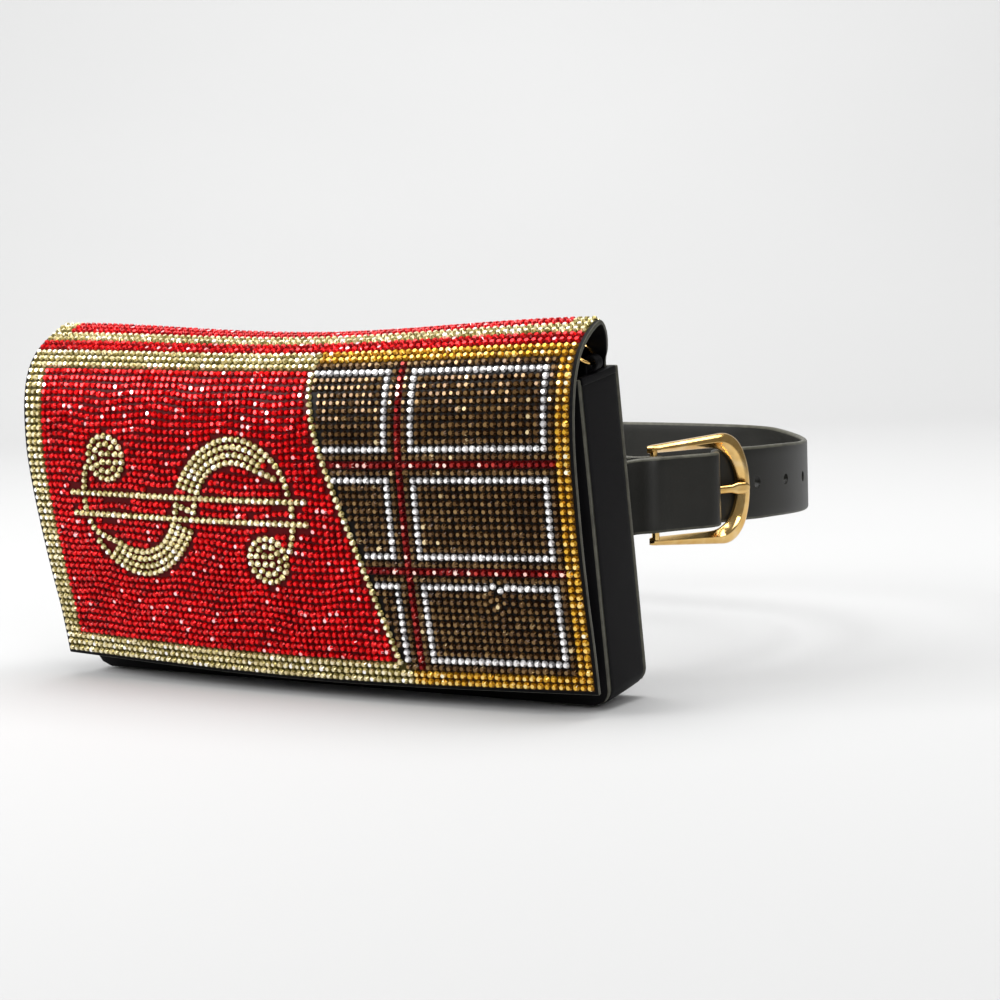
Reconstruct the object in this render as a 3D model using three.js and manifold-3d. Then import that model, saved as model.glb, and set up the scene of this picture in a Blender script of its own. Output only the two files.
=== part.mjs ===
import * as THREE from 'three';
import * as BufferGeometryUtils from 'three/addons/utils/BufferGeometryUtils.js';
import Module from 'manifold-3d';

// Rhinestone belt bag on its buckled waist strap. Millimetres, +Z up, the wearer's front towards -Y.
// The origin is the centre of the waist loop, at the strap's mid height.
const wasm = await Module();
wasm.setup();

// Stone grid of the flap: columns run across from the left end, rows run down from the top edge of the front
const STONE_PITCH = 2.5;
const FLAP_COLUMNS = 87;
const FLAP_ROWS = 45;
const TOP_ROWS = 8;
const FLAP_MARGIN = 1.25;
const STONE_RISE = 0.9;
const INLAY_RISE = 0.7;

// Flap board
const FLAP_WIDTH = FLAP_COLUMNS * STONE_PITCH + 2 * FLAP_MARGIN;
const FLAP_BOARD = 1.6;
const FLAP_CREST = 3;
const FLAP_HEIGHT = FLAP_ROWS * STONE_PITCH + FLAP_CREST;
const FLAP_REACH = 45;
const FLAP_SAG = 4;
const BODY_CLEAR = 0.3;

// Pouch under the flap
const END_INSET = 3.5;
const BODY_WIDTH = FLAP_WIDTH - 2 * END_INSET;
const BODY_DEPTH = 26;
const BODY_DROP = 8;
const MOUTH_BELOW_RIDGE = 17;
const MOUTH_HEIGHT = FLAP_HEIGHT - MOUTH_BELOW_RIDGE;
const WALL = 1.8;
const CORNER_RADIUS = 6;
const FRONT_DOME = 12;
const BAG_LEAN = 7.8;

// Magnetic snap under the flap
const SNAP_RADIUS = 9;
const SNAP_HEIGHT_UP = 28;

// Waist loop, flat behind the pouch and round at the hips
const WAIST_HALF_WIDTH = 113.5;
const WAIST_HALF_DEPTH = 84.5;
const WAIST_FLAT = 42;
const BAG_STANDOFF = 8.7;
const BAG_LIFT = 5;

// Strap
const STRAP_WIDTH = 25.4;
const STRAP_THICK = 2.2;
const STRAP_CLEAR = 0.3;
const TAIL_TIP = 18;
const TAIL_DROOP = 2;
const INNER_LIFT = 3;
const STRAP_LIFT = 1.6;
const HIP_SAG = 1.4;
const HIP_LEVEL_AT = 10;
const HIP_WAVE = 3.4;
const HOLE_RADIUS = 1.9;
const HOLE_PITCH = 20;
const HOLE_COUNT = 4;
const PRONG_HOLE_AT = 7.4;

// Buckle
const BUCKLE_ANGLE = 29.5;
const BUCKLE_LIFT = 1;
const FRAME_RIGHT = 20.5;
const FRAME_LENGTH = 43;
const FRAME_HEIGHT = 38;
const FRAME_NARROW_END = 33.5;
const FRAME_BAR = 5.2;
const FRAME_ARM = 2.6;
const FRAME_ARM_AT_CORNER = 4.8;
const FRAME_THICK = 3.4;
const FRAME_BEND = 11.5;
const FRAME_ROUND = 0.54;
const PIVOT_RADIUS = 1.3;
const EYE_PLY = 1.4;
const PRONG_WIDTH = 3;
const PRONG_THICK = 2.2;
const PRONG_SHORT = 1;
const STRAP_DIP = 2.8;
const DIP_RUN = 5;

// Loops on the back that carry the strap
const LOOP_WIDTH = 14;
const LOOP_THICK = 1.5;
const LOOP_OFFSET = 30;
const LOOP_PLAY = 1.5;
const LOOP_LAND = 9;

// Side ring at the curl's right end
const RING_RADIUS = 5;
const RING_WIRE = 0.7;
const RING_DEPTH = 14;
const RING_TILT = 49;
const TAB_WIDTH = 4;
const TAB_THICK = 1.1;
const TAB_LENGTH = 14;

const half = (size) => size / 2;
const radians = THREE.MathUtils.degToRad;

// The flap's section from its lower edge, up the front, over the curl and down to the foot inside the pouch.
// up is a share of FLAP_HEIGHT, left, middle and right are shares of FLAP_REACH in front of the back panel,
// wide is a share of the flap's half width.
const FLAP_SECTION = [
  { up: 0.0, left: 0.81, middle: 0.95, right: 0.84, wide: 1 },
  { up: 0.14, left: 0.84, middle: 0.98, right: 0.85, wide: 1 },
  { up: 0.27, left: 0.89, middle: 1.0, right: 0.87, wide: 1 },
  { up: 0.41, left: 0.935, middle: 1.01, right: 0.88, wide: 1 },
  { up: 0.54, left: 0.965, middle: 1.01, right: 0.875, wide: 1 },
  { up: 0.65, left: 0.975, middle: 1.0, right: 0.865, wide: 1 },
  { up: 0.74, left: 0.955, middle: 0.975, right: 0.84, wide: 1 },
  { up: 0.82, left: 0.915, middle: 0.925, right: 0.795, wide: 1 },
  { up: 0.89, left: 0.84, middle: 0.85, right: 0.725, wide: 1 },
  { up: 0.945, left: 0.71, middle: 0.74, right: 0.62, wide: 1 },
  { up: 0.985, left: 0.5, middle: 0.55, right: 0.46, wide: 1 },
  { up: 1.0, left: 0.33, middle: 0.35, right: 0.31, wide: 1 },
  { up: 0.965, left: 0.21, middle: 0.2, right: 0.21, wide: 0.992 },
  { up: 0.915, left: 0.13, middle: 0.12, right: 0.14, wide: 0.975 },
  { up: 0.865, left: 0.06, middle: 0.06, right: 0.06, wide: 0.945 },
  { up: 0.765, left: 0.05, middle: 0.05, right: 0.05, wide: 0.942 },
];

// Row lines where the flap's facets turn, and the number of equal strips across it
const ROW_LINES = [45, 42, 38, 34, 30, 26, 22, 18, 14, 10.5, 7.5, 5, 2.5, 0, -1.5, -3, -4.5, -6, -8];
const STRIPS_ACROSS = 12;
const BACK_STEPS = 6;

// Solids and meshes

function solidOf(geometry) {
  const bare = geometry.index ? geometry.toNonIndexed() : geometry.clone();
  bare.deleteAttribute('normal');
  bare.deleteAttribute('uv');
  const merged = BufferGeometryUtils.mergeVertices(bare, 1e-4);
  return new wasm.Manifold(new wasm.Mesh({
    numProp: 3,
    vertProperties: new Float32Array(merged.attributes.position.array),
    triVerts: new Uint32Array(merged.index.array),
  }));
}

function geometryOf(solid) {
  const mesh = solid.getMesh();
  const geometry = new THREE.BufferGeometry();
  geometry.setAttribute('position', new THREE.BufferAttribute(mesh.vertProperties, 3));
  geometry.setIndex(new THREE.BufferAttribute(mesh.triVerts, 1));
  const flat = geometry.toNonIndexed();
  flat.computeVertexNormals();
  return flat;
}

// Closed board between two grids of points, outer first, given as grids[row][column]
function boardBetween(outer, inner) {
  const rows = outer.length;
  const columns = outer[0].length;
  const positions = [];
  for (const grid of [outer, inner]) {
    for (const row of grid) {
      for (const point of row) positions.push(point.x, point.y, point.z);
    }
  }
  const outerAt = (r, c) => r * columns + c;
  const innerAt = (r, c) => rows * columns + r * columns + c;
  const triangles = [];
  const quad = (a, b, c, d) => triangles.push(a, b, c, a, c, d);
  for (let r = 0; r + 1 < rows; r += 1) {
    for (let c = 0; c + 1 < columns; c += 1) {
      quad(outerAt(r, c), outerAt(r, c + 1), outerAt(r + 1, c + 1), outerAt(r + 1, c));
      quad(innerAt(r, c), innerAt(r + 1, c), innerAt(r + 1, c + 1), innerAt(r, c + 1));
    }
    quad(outerAt(r, 0), outerAt(r + 1, 0), innerAt(r + 1, 0), innerAt(r, 0));
    quad(outerAt(r + 1, columns - 1), outerAt(r, columns - 1), innerAt(r, columns - 1), innerAt(r + 1, columns - 1));
  }
  for (let c = 0; c + 1 < columns; c += 1) {
    quad(outerAt(0, c + 1), outerAt(0, c), innerAt(0, c), innerAt(0, c + 1));
    quad(outerAt(rows - 1, c), outerAt(rows - 1, c + 1), innerAt(rows - 1, c + 1), innerAt(rows - 1, c));
  }
  const geometry = new THREE.BufferGeometry();
  geometry.setAttribute('position', new THREE.Float32BufferAttribute(positions, 3));
  geometry.setIndex(triangles);
  return geometry;
}

// Plate of an outline drawn in the bag's x and z, lying between two depths in front of the back panel
function plateFrom(shape, nearDepth, farDepth, curveSegments = 6) {
  const geometry = new THREE.ExtrudeGeometry(shape, {
    depth: farDepth - nearDepth,
    bevelEnabled: false,
    curveSegments,
  });
  geometry.rotateX(Math.PI / 2);
  geometry.translate(0, -nearDepth, 0);
  return geometry;
}

// Flap surface

const stoneTop = FLAP_MARGIN + FLAP_ROWS * STONE_PITCH;
const stonedLength = stoneTop + TOP_ROWS * STONE_PITCH;

function acrossBlend(u, left, middle, right) {
  return left * (1 - u) * (1 - 2 * u) + 4 * middle * u * (1 - u) + right * u * (2 * u - 1);
}

function sectionCurve(u) {
  const points = FLAP_SECTION.map((row) => new THREE.Vector3(
    (u - 0.5) * FLAP_WIDTH * row.wide,
    -FLAP_REACH * acrossBlend(u, row.left, row.middle, row.right),
    FLAP_HEIGHT * row.up - FLAP_SAG * Math.sin(Math.PI * u) ** 2 * sagShare(row),
  ));
  return new THREE.CatmullRomCurve3(points, false, 'catmullrom', 0.5);
}

// The sag is full at the ridge, a quarter at the lower edge and none at the foot, which is sewn down
function sagShare(row) {
  const sewn = row.wide < 1 ? THREE.MathUtils.smoothstep(row.up, 0.865, 1) : 1;
  return sewn * (0.25 + 0.75 * row.up ** 3);
}

const curves = new Map();
function curveAt(u) {
  const key = u.toFixed(6);
  if (!curves.has(key)) {
    const curve = sectionCurve(u);
    curve.arcLengthDivisions = 400;
    curves.set(key, curve);
  }
  return curves.get(key);
}

function flapPoint(u, along) {
  const curve = curveAt(u);
  return curve.getPointAt(THREE.MathUtils.clamp(along / curve.getLength(), 0, 1));
}

function flapNormal(u, along) {
  const step = 0.004;
  const low = Math.max(0, u - step);
  const high = Math.min(1, u + step);
  const across = flapPoint(high, along).sub(flapPoint(low, along));
  const length = curveAt(u).getLength();
  const up = flapPoint(u, Math.min(length, along + 0.8)).sub(flapPoint(u, Math.max(0, along - 0.8)));
  return across.cross(up).normalize();
}

const alongOfRow = (row) => FLAP_MARGIN + (FLAP_ROWS - row) * STONE_PITCH;
const shareOfColumn = (column) => (FLAP_MARGIN + column * STONE_PITCH) / FLAP_WIDTH;

// Point over the stone grid at a column and row, raised off the board
function overStone(column, row, raised) {
  const u = shareOfColumn(column);
  const along = alongOfRow(row);
  return flapPoint(u, along).addScaledVector(flapNormal(u, along), raised);
}

function flapBoard() {
  const outer = [];
  const inner = [];
  const lines = ROW_LINES.map((row, index) => (index === 0 ? 0 : alongOfRow(row)));
  for (let k = 0; k < lines.length + BACK_STEPS; k += 1) {
    const outerRow = [];
    const innerRow = [];
    for (let i = 0; i <= STRIPS_ACROSS; i += 1) {
      const u = i / STRIPS_ACROSS;
      const rest = curveAt(u).getLength() - stonedLength;
      const along = k < lines.length ? lines[k] : stonedLength + rest * (k - lines.length + 1) / BACK_STEPS;
      const point = flapPoint(u, along);
      outerRow.push(point);
      innerRow.push(point.clone().addScaledVector(flapNormal(u, along), -FLAP_BOARD));
    }
    outer.push(outerRow);
    inner.push(innerRow);
  }
  return boardBetween(outer, inner);
}

// Layer of the stone field between two row numbers, from one height over the board to another
function stoneLayer(firstRow, lastRow, low, high, firstColumn = 0, lastColumn = FLAP_COLUMNS) {
  const rows = [firstRow, ...ROW_LINES.filter((row) => row < firstRow && row > lastRow), lastRow];
  const inside = [];
  for (let i = 1; i < STRIPS_ACROSS; i += 1) {
    inside.push((i / STRIPS_ACROSS * FLAP_WIDTH - FLAP_MARGIN) / STONE_PITCH);
  }
  const columns = [firstColumn, ...inside.filter((c) => c > firstColumn && c < lastColumn), lastColumn];
  const gridAt = (raised) => rows.map((row) => columns.map((column) => overStone(column, row, raised)));
  return boardBetween(gridAt(high), gridAt(low));
}

// Outline in columns and rows, cut fine enough to follow the flap, as a cutter through the whole bag
const CUTTER_STEP = 5;
function stoneCutter(corners) {
  const shape = new THREE.Shape();
  const points = [];
  corners.forEach(([column, row], index) => {
    const [nextColumn, nextRow] = corners[(index + 1) % corners.length];
    const steps = Math.max(1, Math.round(Math.hypot(nextColumn - column, nextRow - row) / CUTTER_STEP));
    for (let k = 0; k < steps; k += 1) {
      const t = k / steps;
      const point = overStone(column + (nextColumn - column) * t, row + (nextRow - row) * t, BODY_CLEAR);
      points.push(new THREE.Vector2(point.x, point.z));
    }
  });
  shape.setFromPoints(points);
  return solidOf(plateFrom(shape, 0, 2 * FLAP_REACH));
}

// Design on the flap, in columns and rows. Zones stay half a gap inside their lines.

const SEAM = 0.06;
const BORDER = 3;
const AMBER = 2;
const WRAPPER_HALF = 0.5;

// Chocolate tablet: two columns of squares parted by red grooves one stone wide
const GROOVE_COLUMN = 62;
const TABLET_TOP = AMBER;
const TABLET_FOOT = FLAP_ROWS - AMBER;
const TABLET_RIGHT = FLAP_COLUMNS - AMBER;
const SQUARE_NAMES = ['upper', 'middle', 'lower'];
const SQUARE_ROWS = (TABLET_FOOT - TABLET_TOP + 1) / SQUARE_NAMES.length - 1;

// Edge of the opened wrapper, a curve from the top border to the tablet's foot:
// columns before the groove, and the share of the way down
const WRAPPER_EDGE = [
  { before: 13.5, down: 0 },
  { before: 13.5, down: 0.225 },
  { before: 8.5, down: 0.425 },
  { before: 2.5, down: 1 },
];

// The borders change from pale to amber just past the wrapper edge at the top, and beside the groove at the foot
const SPLIT_PAST_EDGE = 0.3;
const BORDER_SPLIT_TOP = GROOVE_COLUMN - WRAPPER_EDGE[0].before + SPLIT_PAST_EDGE;
const BORDER_SPLIT_FOOT = GROOVE_COLUMN - 1;

const wrapperCurve = new THREE.CubicBezierCurve(...WRAPPER_EDGE.map((point) => (
  new THREE.Vector2(GROOVE_COLUMN - point.before, BORDER + (TABLET_FOOT - BORDER) * point.down)
)));

function wrapperLine(offset, firstRow, lastRow, steps = 8) {
  const samples = wrapperCurve.getPoints(60);
  const columnAt = (row) => {
    const next = Math.max(1, samples.findIndex((p) => p.y >= row));
    const a = samples[next - 1];
    const b = samples[next];
    return a.x + (b.x - a.x) * THREE.MathUtils.clamp((row - a.y) / (b.y - a.y), 0, 1);
  };
  const line = [];
  for (let k = 0; k <= steps; k += 1) {
    const row = firstRow + (lastRow - firstRow) * k / steps;
    line.push([columnAt(row) + offset, row]);
  }
  return line;
}

const baseLow = BODY_CLEAR;
const baseHigh = BODY_CLEAR + STONE_RISE;
const inlayLow = baseHigh + BODY_CLEAR;
const inlayHigh = inlayLow + INLAY_RISE;
const baseLayer = solidOf(stoneLayer(FLAP_ROWS, 0, baseLow, baseHigh));
const inlayLayer = solidOf(stoneLayer(FLAP_ROWS, 0, inlayLow, inlayHigh));

// The lower border meets the wrapper's foot, and passes below it to the amber stones
function paleBorder() {
  const s = SEAM;
  return baseLayer.intersect(stoneCutter([
    [-1, -0.4], [BORDER_SPLIT_TOP - s, -0.4], [BORDER_SPLIT_TOP - s, BORDER - s], [BORDER - s, BORDER - s],
    [BORDER - s, FLAP_ROWS - BORDER + s],
    ...wrapperLine(WRAPPER_HALF - s, FLAP_ROWS - BORDER + s, TABLET_FOOT + s, 1),
    [BORDER_SPLIT_FOOT - s, TABLET_FOOT + s], [BORDER_SPLIT_FOOT - s, FLAP_ROWS + 0.4], [-1, FLAP_ROWS + 0.4],
  ]));
}

function amberBorder() {
  const s = SEAM;
  const right = FLAP_COLUMNS - AMBER;
  return baseLayer.intersect(stoneCutter([
    [BORDER_SPLIT_TOP + s, -0.4], [FLAP_COLUMNS + 1, -0.4], [FLAP_COLUMNS + 1, FLAP_ROWS + 0.4],
    [BORDER_SPLIT_FOOT + s, FLAP_ROWS + 0.4], [BORDER_SPLIT_FOOT + s, FLAP_ROWS - AMBER + s],
    [right + s, FLAP_ROWS - AMBER + s], [right + s, AMBER - s], [BORDER_SPLIT_TOP + s, AMBER - s],
  ]));
}

function redField() {
  const s = SEAM;
  const edge = wrapperLine(-WRAPPER_HALF - s, BORDER + s, FLAP_ROWS - BORDER - s);
  return baseLayer.intersect(stoneCutter([
    [BORDER + s, BORDER + s], ...edge, [BORDER + s, FLAP_ROWS - BORDER - s],
  ]));
}

function wrapperEdge() {
  const s = SEAM;
  const left = wrapperLine(-WRAPPER_HALF + s, BORDER + s, FLAP_ROWS - BORDER - s);
  const right = wrapperLine(WRAPPER_HALF - s, BORDER + s, FLAP_ROWS - BORDER - s);
  return baseLayer.intersect(stoneCutter([...right, ...left.reverse()]));
}

// Squares, each with a clear frame one stone inside its edge
const SQUARES = SQUARE_NAMES.map((name, index) => {
  const top = TABLET_TOP + index * (SQUARE_ROWS + 1);
  const foot = top + SQUARE_ROWS;
  return { name, top, foot, frameTop: top + 1, frameFoot: foot - 1 };
});
const RIGHT_FRAME = { left: GROOVE_COLUMN + 2, right: TABLET_RIGHT - 1 };
const LEFT_FRAME = { right: GROOVE_COLUMN - 1 };

function rightSquare(square) {
  const s = SEAM;
  return baseLayer.intersect(stoneCutter([
    [GROOVE_COLUMN + 1 + s, square.top + s], [TABLET_RIGHT - s, square.top + s],
    [TABLET_RIGHT - s, square.foot - s], [GROOVE_COLUMN + 1 + s, square.foot - s],
  ]));
}

// A left square starts at the wrapper edge, which crosses it
function leftSquare(square) {
  const s = SEAM;
  const edge = wrapperLine(WRAPPER_HALF + s, square.top + s, square.foot - s);
  return baseLayer.intersect(stoneCutter([
    ...edge, [GROOVE_COLUMN - s, square.foot - s], [GROOVE_COLUMN - s, square.top + s],
  ]));
}

function grooves() {
  const s = SEAM;
  const upright = stoneCutter([
    [GROOVE_COLUMN + s, TABLET_TOP + s], [GROOVE_COLUMN + 1 - s, TABLET_TOP + s],
    [GROOVE_COLUMN + 1 - s, TABLET_FOOT - s], [GROOVE_COLUMN + s, TABLET_FOOT - s],
  ]);
  let tool = upright;
  for (const { foot: row } of SQUARES.slice(0, -1)) {
    const edge = wrapperLine(WRAPPER_HALF + s, row + s, row + 1 - s, 1);
    tool = tool.add(stoneCutter([
      ...edge, [TABLET_RIGHT - s, row + 1 - s], [TABLET_RIGHT - s, row + s],
    ]));
  }
  return baseLayer.intersect(tool);
}

function rightFrame(square) {
  const outer = stoneCutter([
    [RIGHT_FRAME.left, square.frameTop], [RIGHT_FRAME.right, square.frameTop],
    [RIGHT_FRAME.right, square.frameFoot], [RIGHT_FRAME.left, square.frameFoot],
  ]);
  const inner = stoneCutter([
    [RIGHT_FRAME.left + 1, square.frameTop + 1], [RIGHT_FRAME.right - 1, square.frameTop + 1],
    [RIGHT_FRAME.right - 1, square.frameFoot - 1], [RIGHT_FRAME.left + 1, square.frameFoot - 1],
  ]);
  return inlayLayer.intersect(outer.subtract(inner));
}

function leftFrame(square) {
  const inset = WRAPPER_HALF + 2 * SEAM;
  const outer = stoneCutter([
    ...wrapperLine(inset, square.frameTop, square.frameFoot),
    [LEFT_FRAME.right, square.frameFoot], [LEFT_FRAME.right, square.frameTop],
  ]);
  const inner = stoneCutter([
    ...wrapperLine(inset - 1, square.frameTop + 1, square.frameFoot - 1),
    [LEFT_FRAME.right - 1, square.frameFoot - 1], [LEFT_FRAME.right - 1, square.frameTop + 1],
  ]);
  return inlayLayer.intersect(outer.subtract(inner));
}

// Currency figure lying on its side: a thick double bowl, thin returns with balls and two bars through it.
// It looks the same turned half round, so the stroke's table runs from its middle round the lower left bowl and
// back up to the upper left ball. Places are columns across and rows down from the middle, widths are in stones.
const FIGURE_MIDDLE = { column: 27.5, row: 22 };
const FIGURE_STROKE = [
  { across: 0, down: 0, half: 2 },
  { across: -0.9, down: 2.6, half: 2 },
  { across: -2.3, down: 4.7, half: 1.9 },
  { across: -4.6, down: 6.8, half: 1.9 },
  { across: -7.9, down: 8.1, half: 2.05 },
  { across: -11, down: 7.9, half: 2.05 },
  { across: -13.8, down: 6.6, half: 1.85 },
  { across: -15.9, down: 5.2, half: 1.25 },
  { across: -17.3, down: 3.4, half: 0.55 },
  { across: -17.9, down: 0.5, half: 0.5 },
  { across: -17.6, down: -2.6, half: 0.5 },
  { across: -16.9, down: -4.9, half: 0.5 },
  { across: -16, down: -6.4, half: 0.5 },
];
const FIGURE_BAR = { reach: 20.4, near: 1, far: 2 };
const FIGURE_BALL = { across: -13.05, down: -6.6, radius: 3.5, corners: 12 };

function figure() {
  const turned = FIGURE_STROKE.slice(1).reverse().map((point) => ({
    across: -point.across, down: -point.down, half: point.half,
  }));
  const stroke = [...turned, ...FIGURE_STROKE];
  const centres = new THREE.SplineCurve(stroke.map((point) => new THREE.Vector2(point.across, point.down)));
  const widths = new THREE.SplineCurve(stroke.map((point, index) => new THREE.Vector2(index, point.half)));
  const cutFigure = (outline) => stoneCutter(outline.map(([across, down]) => [
    FIGURE_MIDDLE.column + across, FIGURE_MIDDLE.row + down,
  ]));
  const steps = 2 * (stroke.length - 1);
  const sides = [1, -1].map((side) => {
    const line = [];
    for (let k = 0; k <= steps; k += 1) {
      const centre = centres.getPoint(k / steps);
      const heading = centres.getTangent(k / steps);
      const reach = side * widths.getPoint(k / steps).y;
      line.push([centre.x - heading.y * reach, centre.y + heading.x * reach]);
    }
    return line;
  });
  let tool = cutFigure([...sides[0], ...sides[1].reverse()]);
  for (const turn of [1, -1]) {
    const { reach, near, far } = FIGURE_BAR;
    tool = tool.add(cutFigure([
      [-turn * reach, turn * near], [turn * reach, turn * near], [turn * reach, turn * far], [-turn * reach, turn * far],
    ]));
    const rim = [];
    for (let k = 0; k < FIGURE_BALL.corners; k += 1) {
      const angle = 2 * Math.PI * k / FIGURE_BALL.corners;
      rim.push([
        turn * FIGURE_BALL.across + FIGURE_BALL.radius * Math.cos(angle),
        turn * FIGURE_BALL.down + FIGURE_BALL.radius * Math.sin(angle),
      ]);
    }
    tool = tool.add(cutFigure(rim));
  }
  return inlayLayer.intersect(tool);
}

// Pouch

const bodyHalf = half(BODY_WIDTH);

function pouchShape(inset) {
  const side = bodyHalf - inset;
  const foot = -BODY_DROP + inset;
  const radius = Math.max(CORNER_RADIUS - inset, 0.5);
  const shape = new THREE.Shape();
  shape.moveTo(side, MOUTH_HEIGHT);
  shape.lineTo(-side, MOUTH_HEIGHT);
  shape.lineTo(-side, foot + radius);
  shape.absarc(-side + radius, foot + radius, radius, Math.PI, 1.5 * Math.PI, false);
  shape.absarc(side - radius, foot + radius, radius, 1.5 * Math.PI, 2 * Math.PI, false);
  shape.lineTo(side, MOUTH_HEIGHT);
  return shape;
}

function gusset() {
  const near = WALL + BODY_CLEAR;
  const far = BODY_DEPTH - WALL - BODY_CLEAR;
  const outer = solidOf(plateFrom(pouchShape(0), near, far));
  const hollow = pouchShape(WALL);
  const cut = solidOf(plateFrom(hollow, near - 1, far + 1));
  const above = new THREE.BoxGeometry(2 * (bodyHalf - WALL), BODY_DEPTH + 2, 2 * WALL);
  above.translate(0, -half(BODY_DEPTH), MOUTH_HEIGHT);
  return outer.subtract(cut.add(solidOf(above)));
}

// How far the filled front panel swells out at a place across and up, from 0 at its rim to 1
function domeShare(x, z) {
  const across = 1 - Math.abs(x / bodyHalf) ** 3;
  const up = (z + BODY_DROP) / (MOUTH_HEIGHT + BODY_DROP);
  return across * (1 - Math.abs(2 * up - 1) ** 3);
}

const frontFace = (x, z) => BODY_DEPTH + FRONT_DOME * domeShare(x, z);

function frontPanel() {
  const columns = 14;
  const rows = 10;
  const gridAt = (thickness) => {
    const grid = [];
    for (let r = 0; r <= rows; r += 1) {
      const z = -BODY_DROP + (MOUTH_HEIGHT + BODY_DROP) * r / rows;
      const line = [];
      for (let c = 0; c <= columns; c += 1) {
        const x = bodyHalf * (2 * c / columns - 1);
        line.push(new THREE.Vector3(x, -(frontFace(x, z) - thickness), z));
      }
      grid.push(line);
    }
    return grid;
  };
  const panel = solidOf(boardBetween(gridAt(0), gridAt(WALL)));
  return panel.intersect(solidOf(plateFrom(pouchShape(0), 0, BODY_DEPTH + FRONT_DOME + 1)));
}

// Depth of the flap's inside at a height on the front, halfway across
function flapInside(height) {
  let along = 0;
  while (flapPoint(0.5, along).z < height) along += 0.5;
  return -flapPoint(0.5, along).y - FLAP_BOARD;
}

// Round snap between the front panel's fullest place under it and the flap's nearest
function closureSnap() {
  const heights = [-1, 0, 1].map((side) => SNAP_HEIGHT_UP + side * SNAP_RADIUS);
  const near = Math.max(...heights.map((z) => frontFace(0, z))) + BODY_CLEAR;
  const far = Math.min(...heights.map(flapInside)) - BODY_CLEAR;
  const snap = new THREE.CylinderGeometry(SNAP_RADIUS, SNAP_RADIUS, far - near, 16);
  snap.translate(0, -half(far + near), SNAP_HEIGHT_UP);
  return snap;
}

// Places of the bag's own frame in the world and back: it leans, with its top forward
const bagPivot = new THREE.Vector3(0, -WAIST_HALF_DEPTH - BAG_STANDOFF, BAG_LIFT);
const bagMiddle = half(FLAP_HEIGHT - FLAP_SAG);
const lean = radians(BAG_LEAN);

function toBag(y, z) {
  const dy = y - bagPivot.y;
  const dz = z - bagPivot.z;
  return [dy * Math.cos(lean) + dz * Math.sin(lean), -dy * Math.sin(lean) + dz * Math.cos(lean) + bagMiddle];
}

// Loop of strip sewn to the back panel above and below the strap, which passes inside it
function beltLoop() {
  const inner = -WAIST_HALF_DEPTH + STRAP_CLEAR;
  const [topY, topZ] = toBag(inner, half(STRAP_WIDTH) + INNER_LIFT + LOOP_PLAY);
  const [footY, footZ] = toBag(inner, -half(STRAP_WIDTH) - TAIL_DROOP - LOOP_PLAY);
  const seat = BODY_CLEAR;
  const t = LOOP_THICK;
  const line = [
    [seat, topZ + t + LOOP_LAND], [seat, topZ + half(t)], [topY, topZ],
    [footY, footZ], [seat, footZ - half(t)], [seat, footZ - t - LOOP_LAND],
  ];
  const outside = [
    [seat + t, footZ - t - LOOP_LAND], [seat + t, footZ - 1.5 * t], [footY + t, footZ - t],
    [topY + t, topZ + t], [seat + t, topZ + 1.5 * t], [seat + t, topZ + t + LOOP_LAND],
  ];
  const shape = new THREE.Shape([...line, ...outside].map(([y, z]) => new THREE.Vector2(y, z)));
  const geometry = new THREE.ExtrudeGeometry(shape, { depth: LOOP_WIDTH, bevelEnabled: false });
  geometry.rotateY(Math.PI / 2);
  geometry.rotateX(Math.PI / 2);
  geometry.translate(-half(LOOP_WIDTH), 0, 0);
  return geometry;
}

// Ring on a folded tab, standing up out of the pouch's right end into the curl
const ringFoot = { x: bodyHalf - half(WALL), z: MOUTH_HEIGHT + 3.4 };
const tabHole = RING_WIRE + 0.75;

function sideRing() {
  const ring = new THREE.TorusGeometry(RING_RADIUS, RING_WIRE, 6, 16);
  ring.rotateY(Math.PI / 2);
  ring.translate(0, 0, RING_RADIUS);
  ring.rotateY(-radians(RING_TILT));
  ring.translate(ringFoot.x, -RING_DEPTH, ringFoot.z);
  return ring;
}

function ringTab() {
  const outside = tabHole + TAB_THICK;
  const shape = new THREE.Shape();
  shape.absarc(0, 0, outside, -0.5 * Math.PI, Math.PI, false);
  shape.lineTo(-outside, -TAB_LENGTH);
  shape.lineTo(-outside + TAB_THICK, -TAB_LENGTH);
  shape.lineTo(-outside + TAB_THICK, -outside);
  shape.lineTo(0, -outside);
  const hole = new THREE.Path();
  hole.absarc(0, 0, tabHole, 0, 2 * Math.PI, true);
  shape.holes.push(hole);
  const tab = new THREE.ExtrudeGeometry(shape, { depth: TAB_WIDTH, bevelEnabled: false, curveSegments: 6 });
  tab.rotateX(Math.PI / 2);
  tab.translate(ringFoot.x, -RING_DEPTH + half(TAB_WIDTH), ringFoot.z);
  return tab;
}

// Waist strap

// Place on the waist loop's right half: -90 degrees is the front, 0 the hip and 90 the back
function waistPlace(angle, side) {
  const a = radians(angle);
  const reach = WAIST_HALF_WIDTH - WAIST_FLAT;
  const point = new THREE.Vector2(side * (WAIST_FLAT + reach * Math.cos(a)), WAIST_HALF_DEPTH * Math.sin(a));
  const normal = new THREE.Vector2(side * Math.cos(a) / reach, Math.sin(a) / WAIST_HALF_DEPTH).normalize();
  return { point, normal };
}

function waistStation(angle, side, out, lift) {
  const { point, normal } = waistPlace(angle, side);
  return { centre: point.clone().addScaledVector(normal, out), lift };
}

// Height of the strap's middle past the buckle: it falls, sags beyond the hip and is level again at the back
function hipLift(angle) {
  const turn = HIP_WAVE * (angle - HIP_LEVEL_AT);
  return turn < 180 ? -HIP_SAG * Math.sin(radians(turn)) : 0;
}

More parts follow.
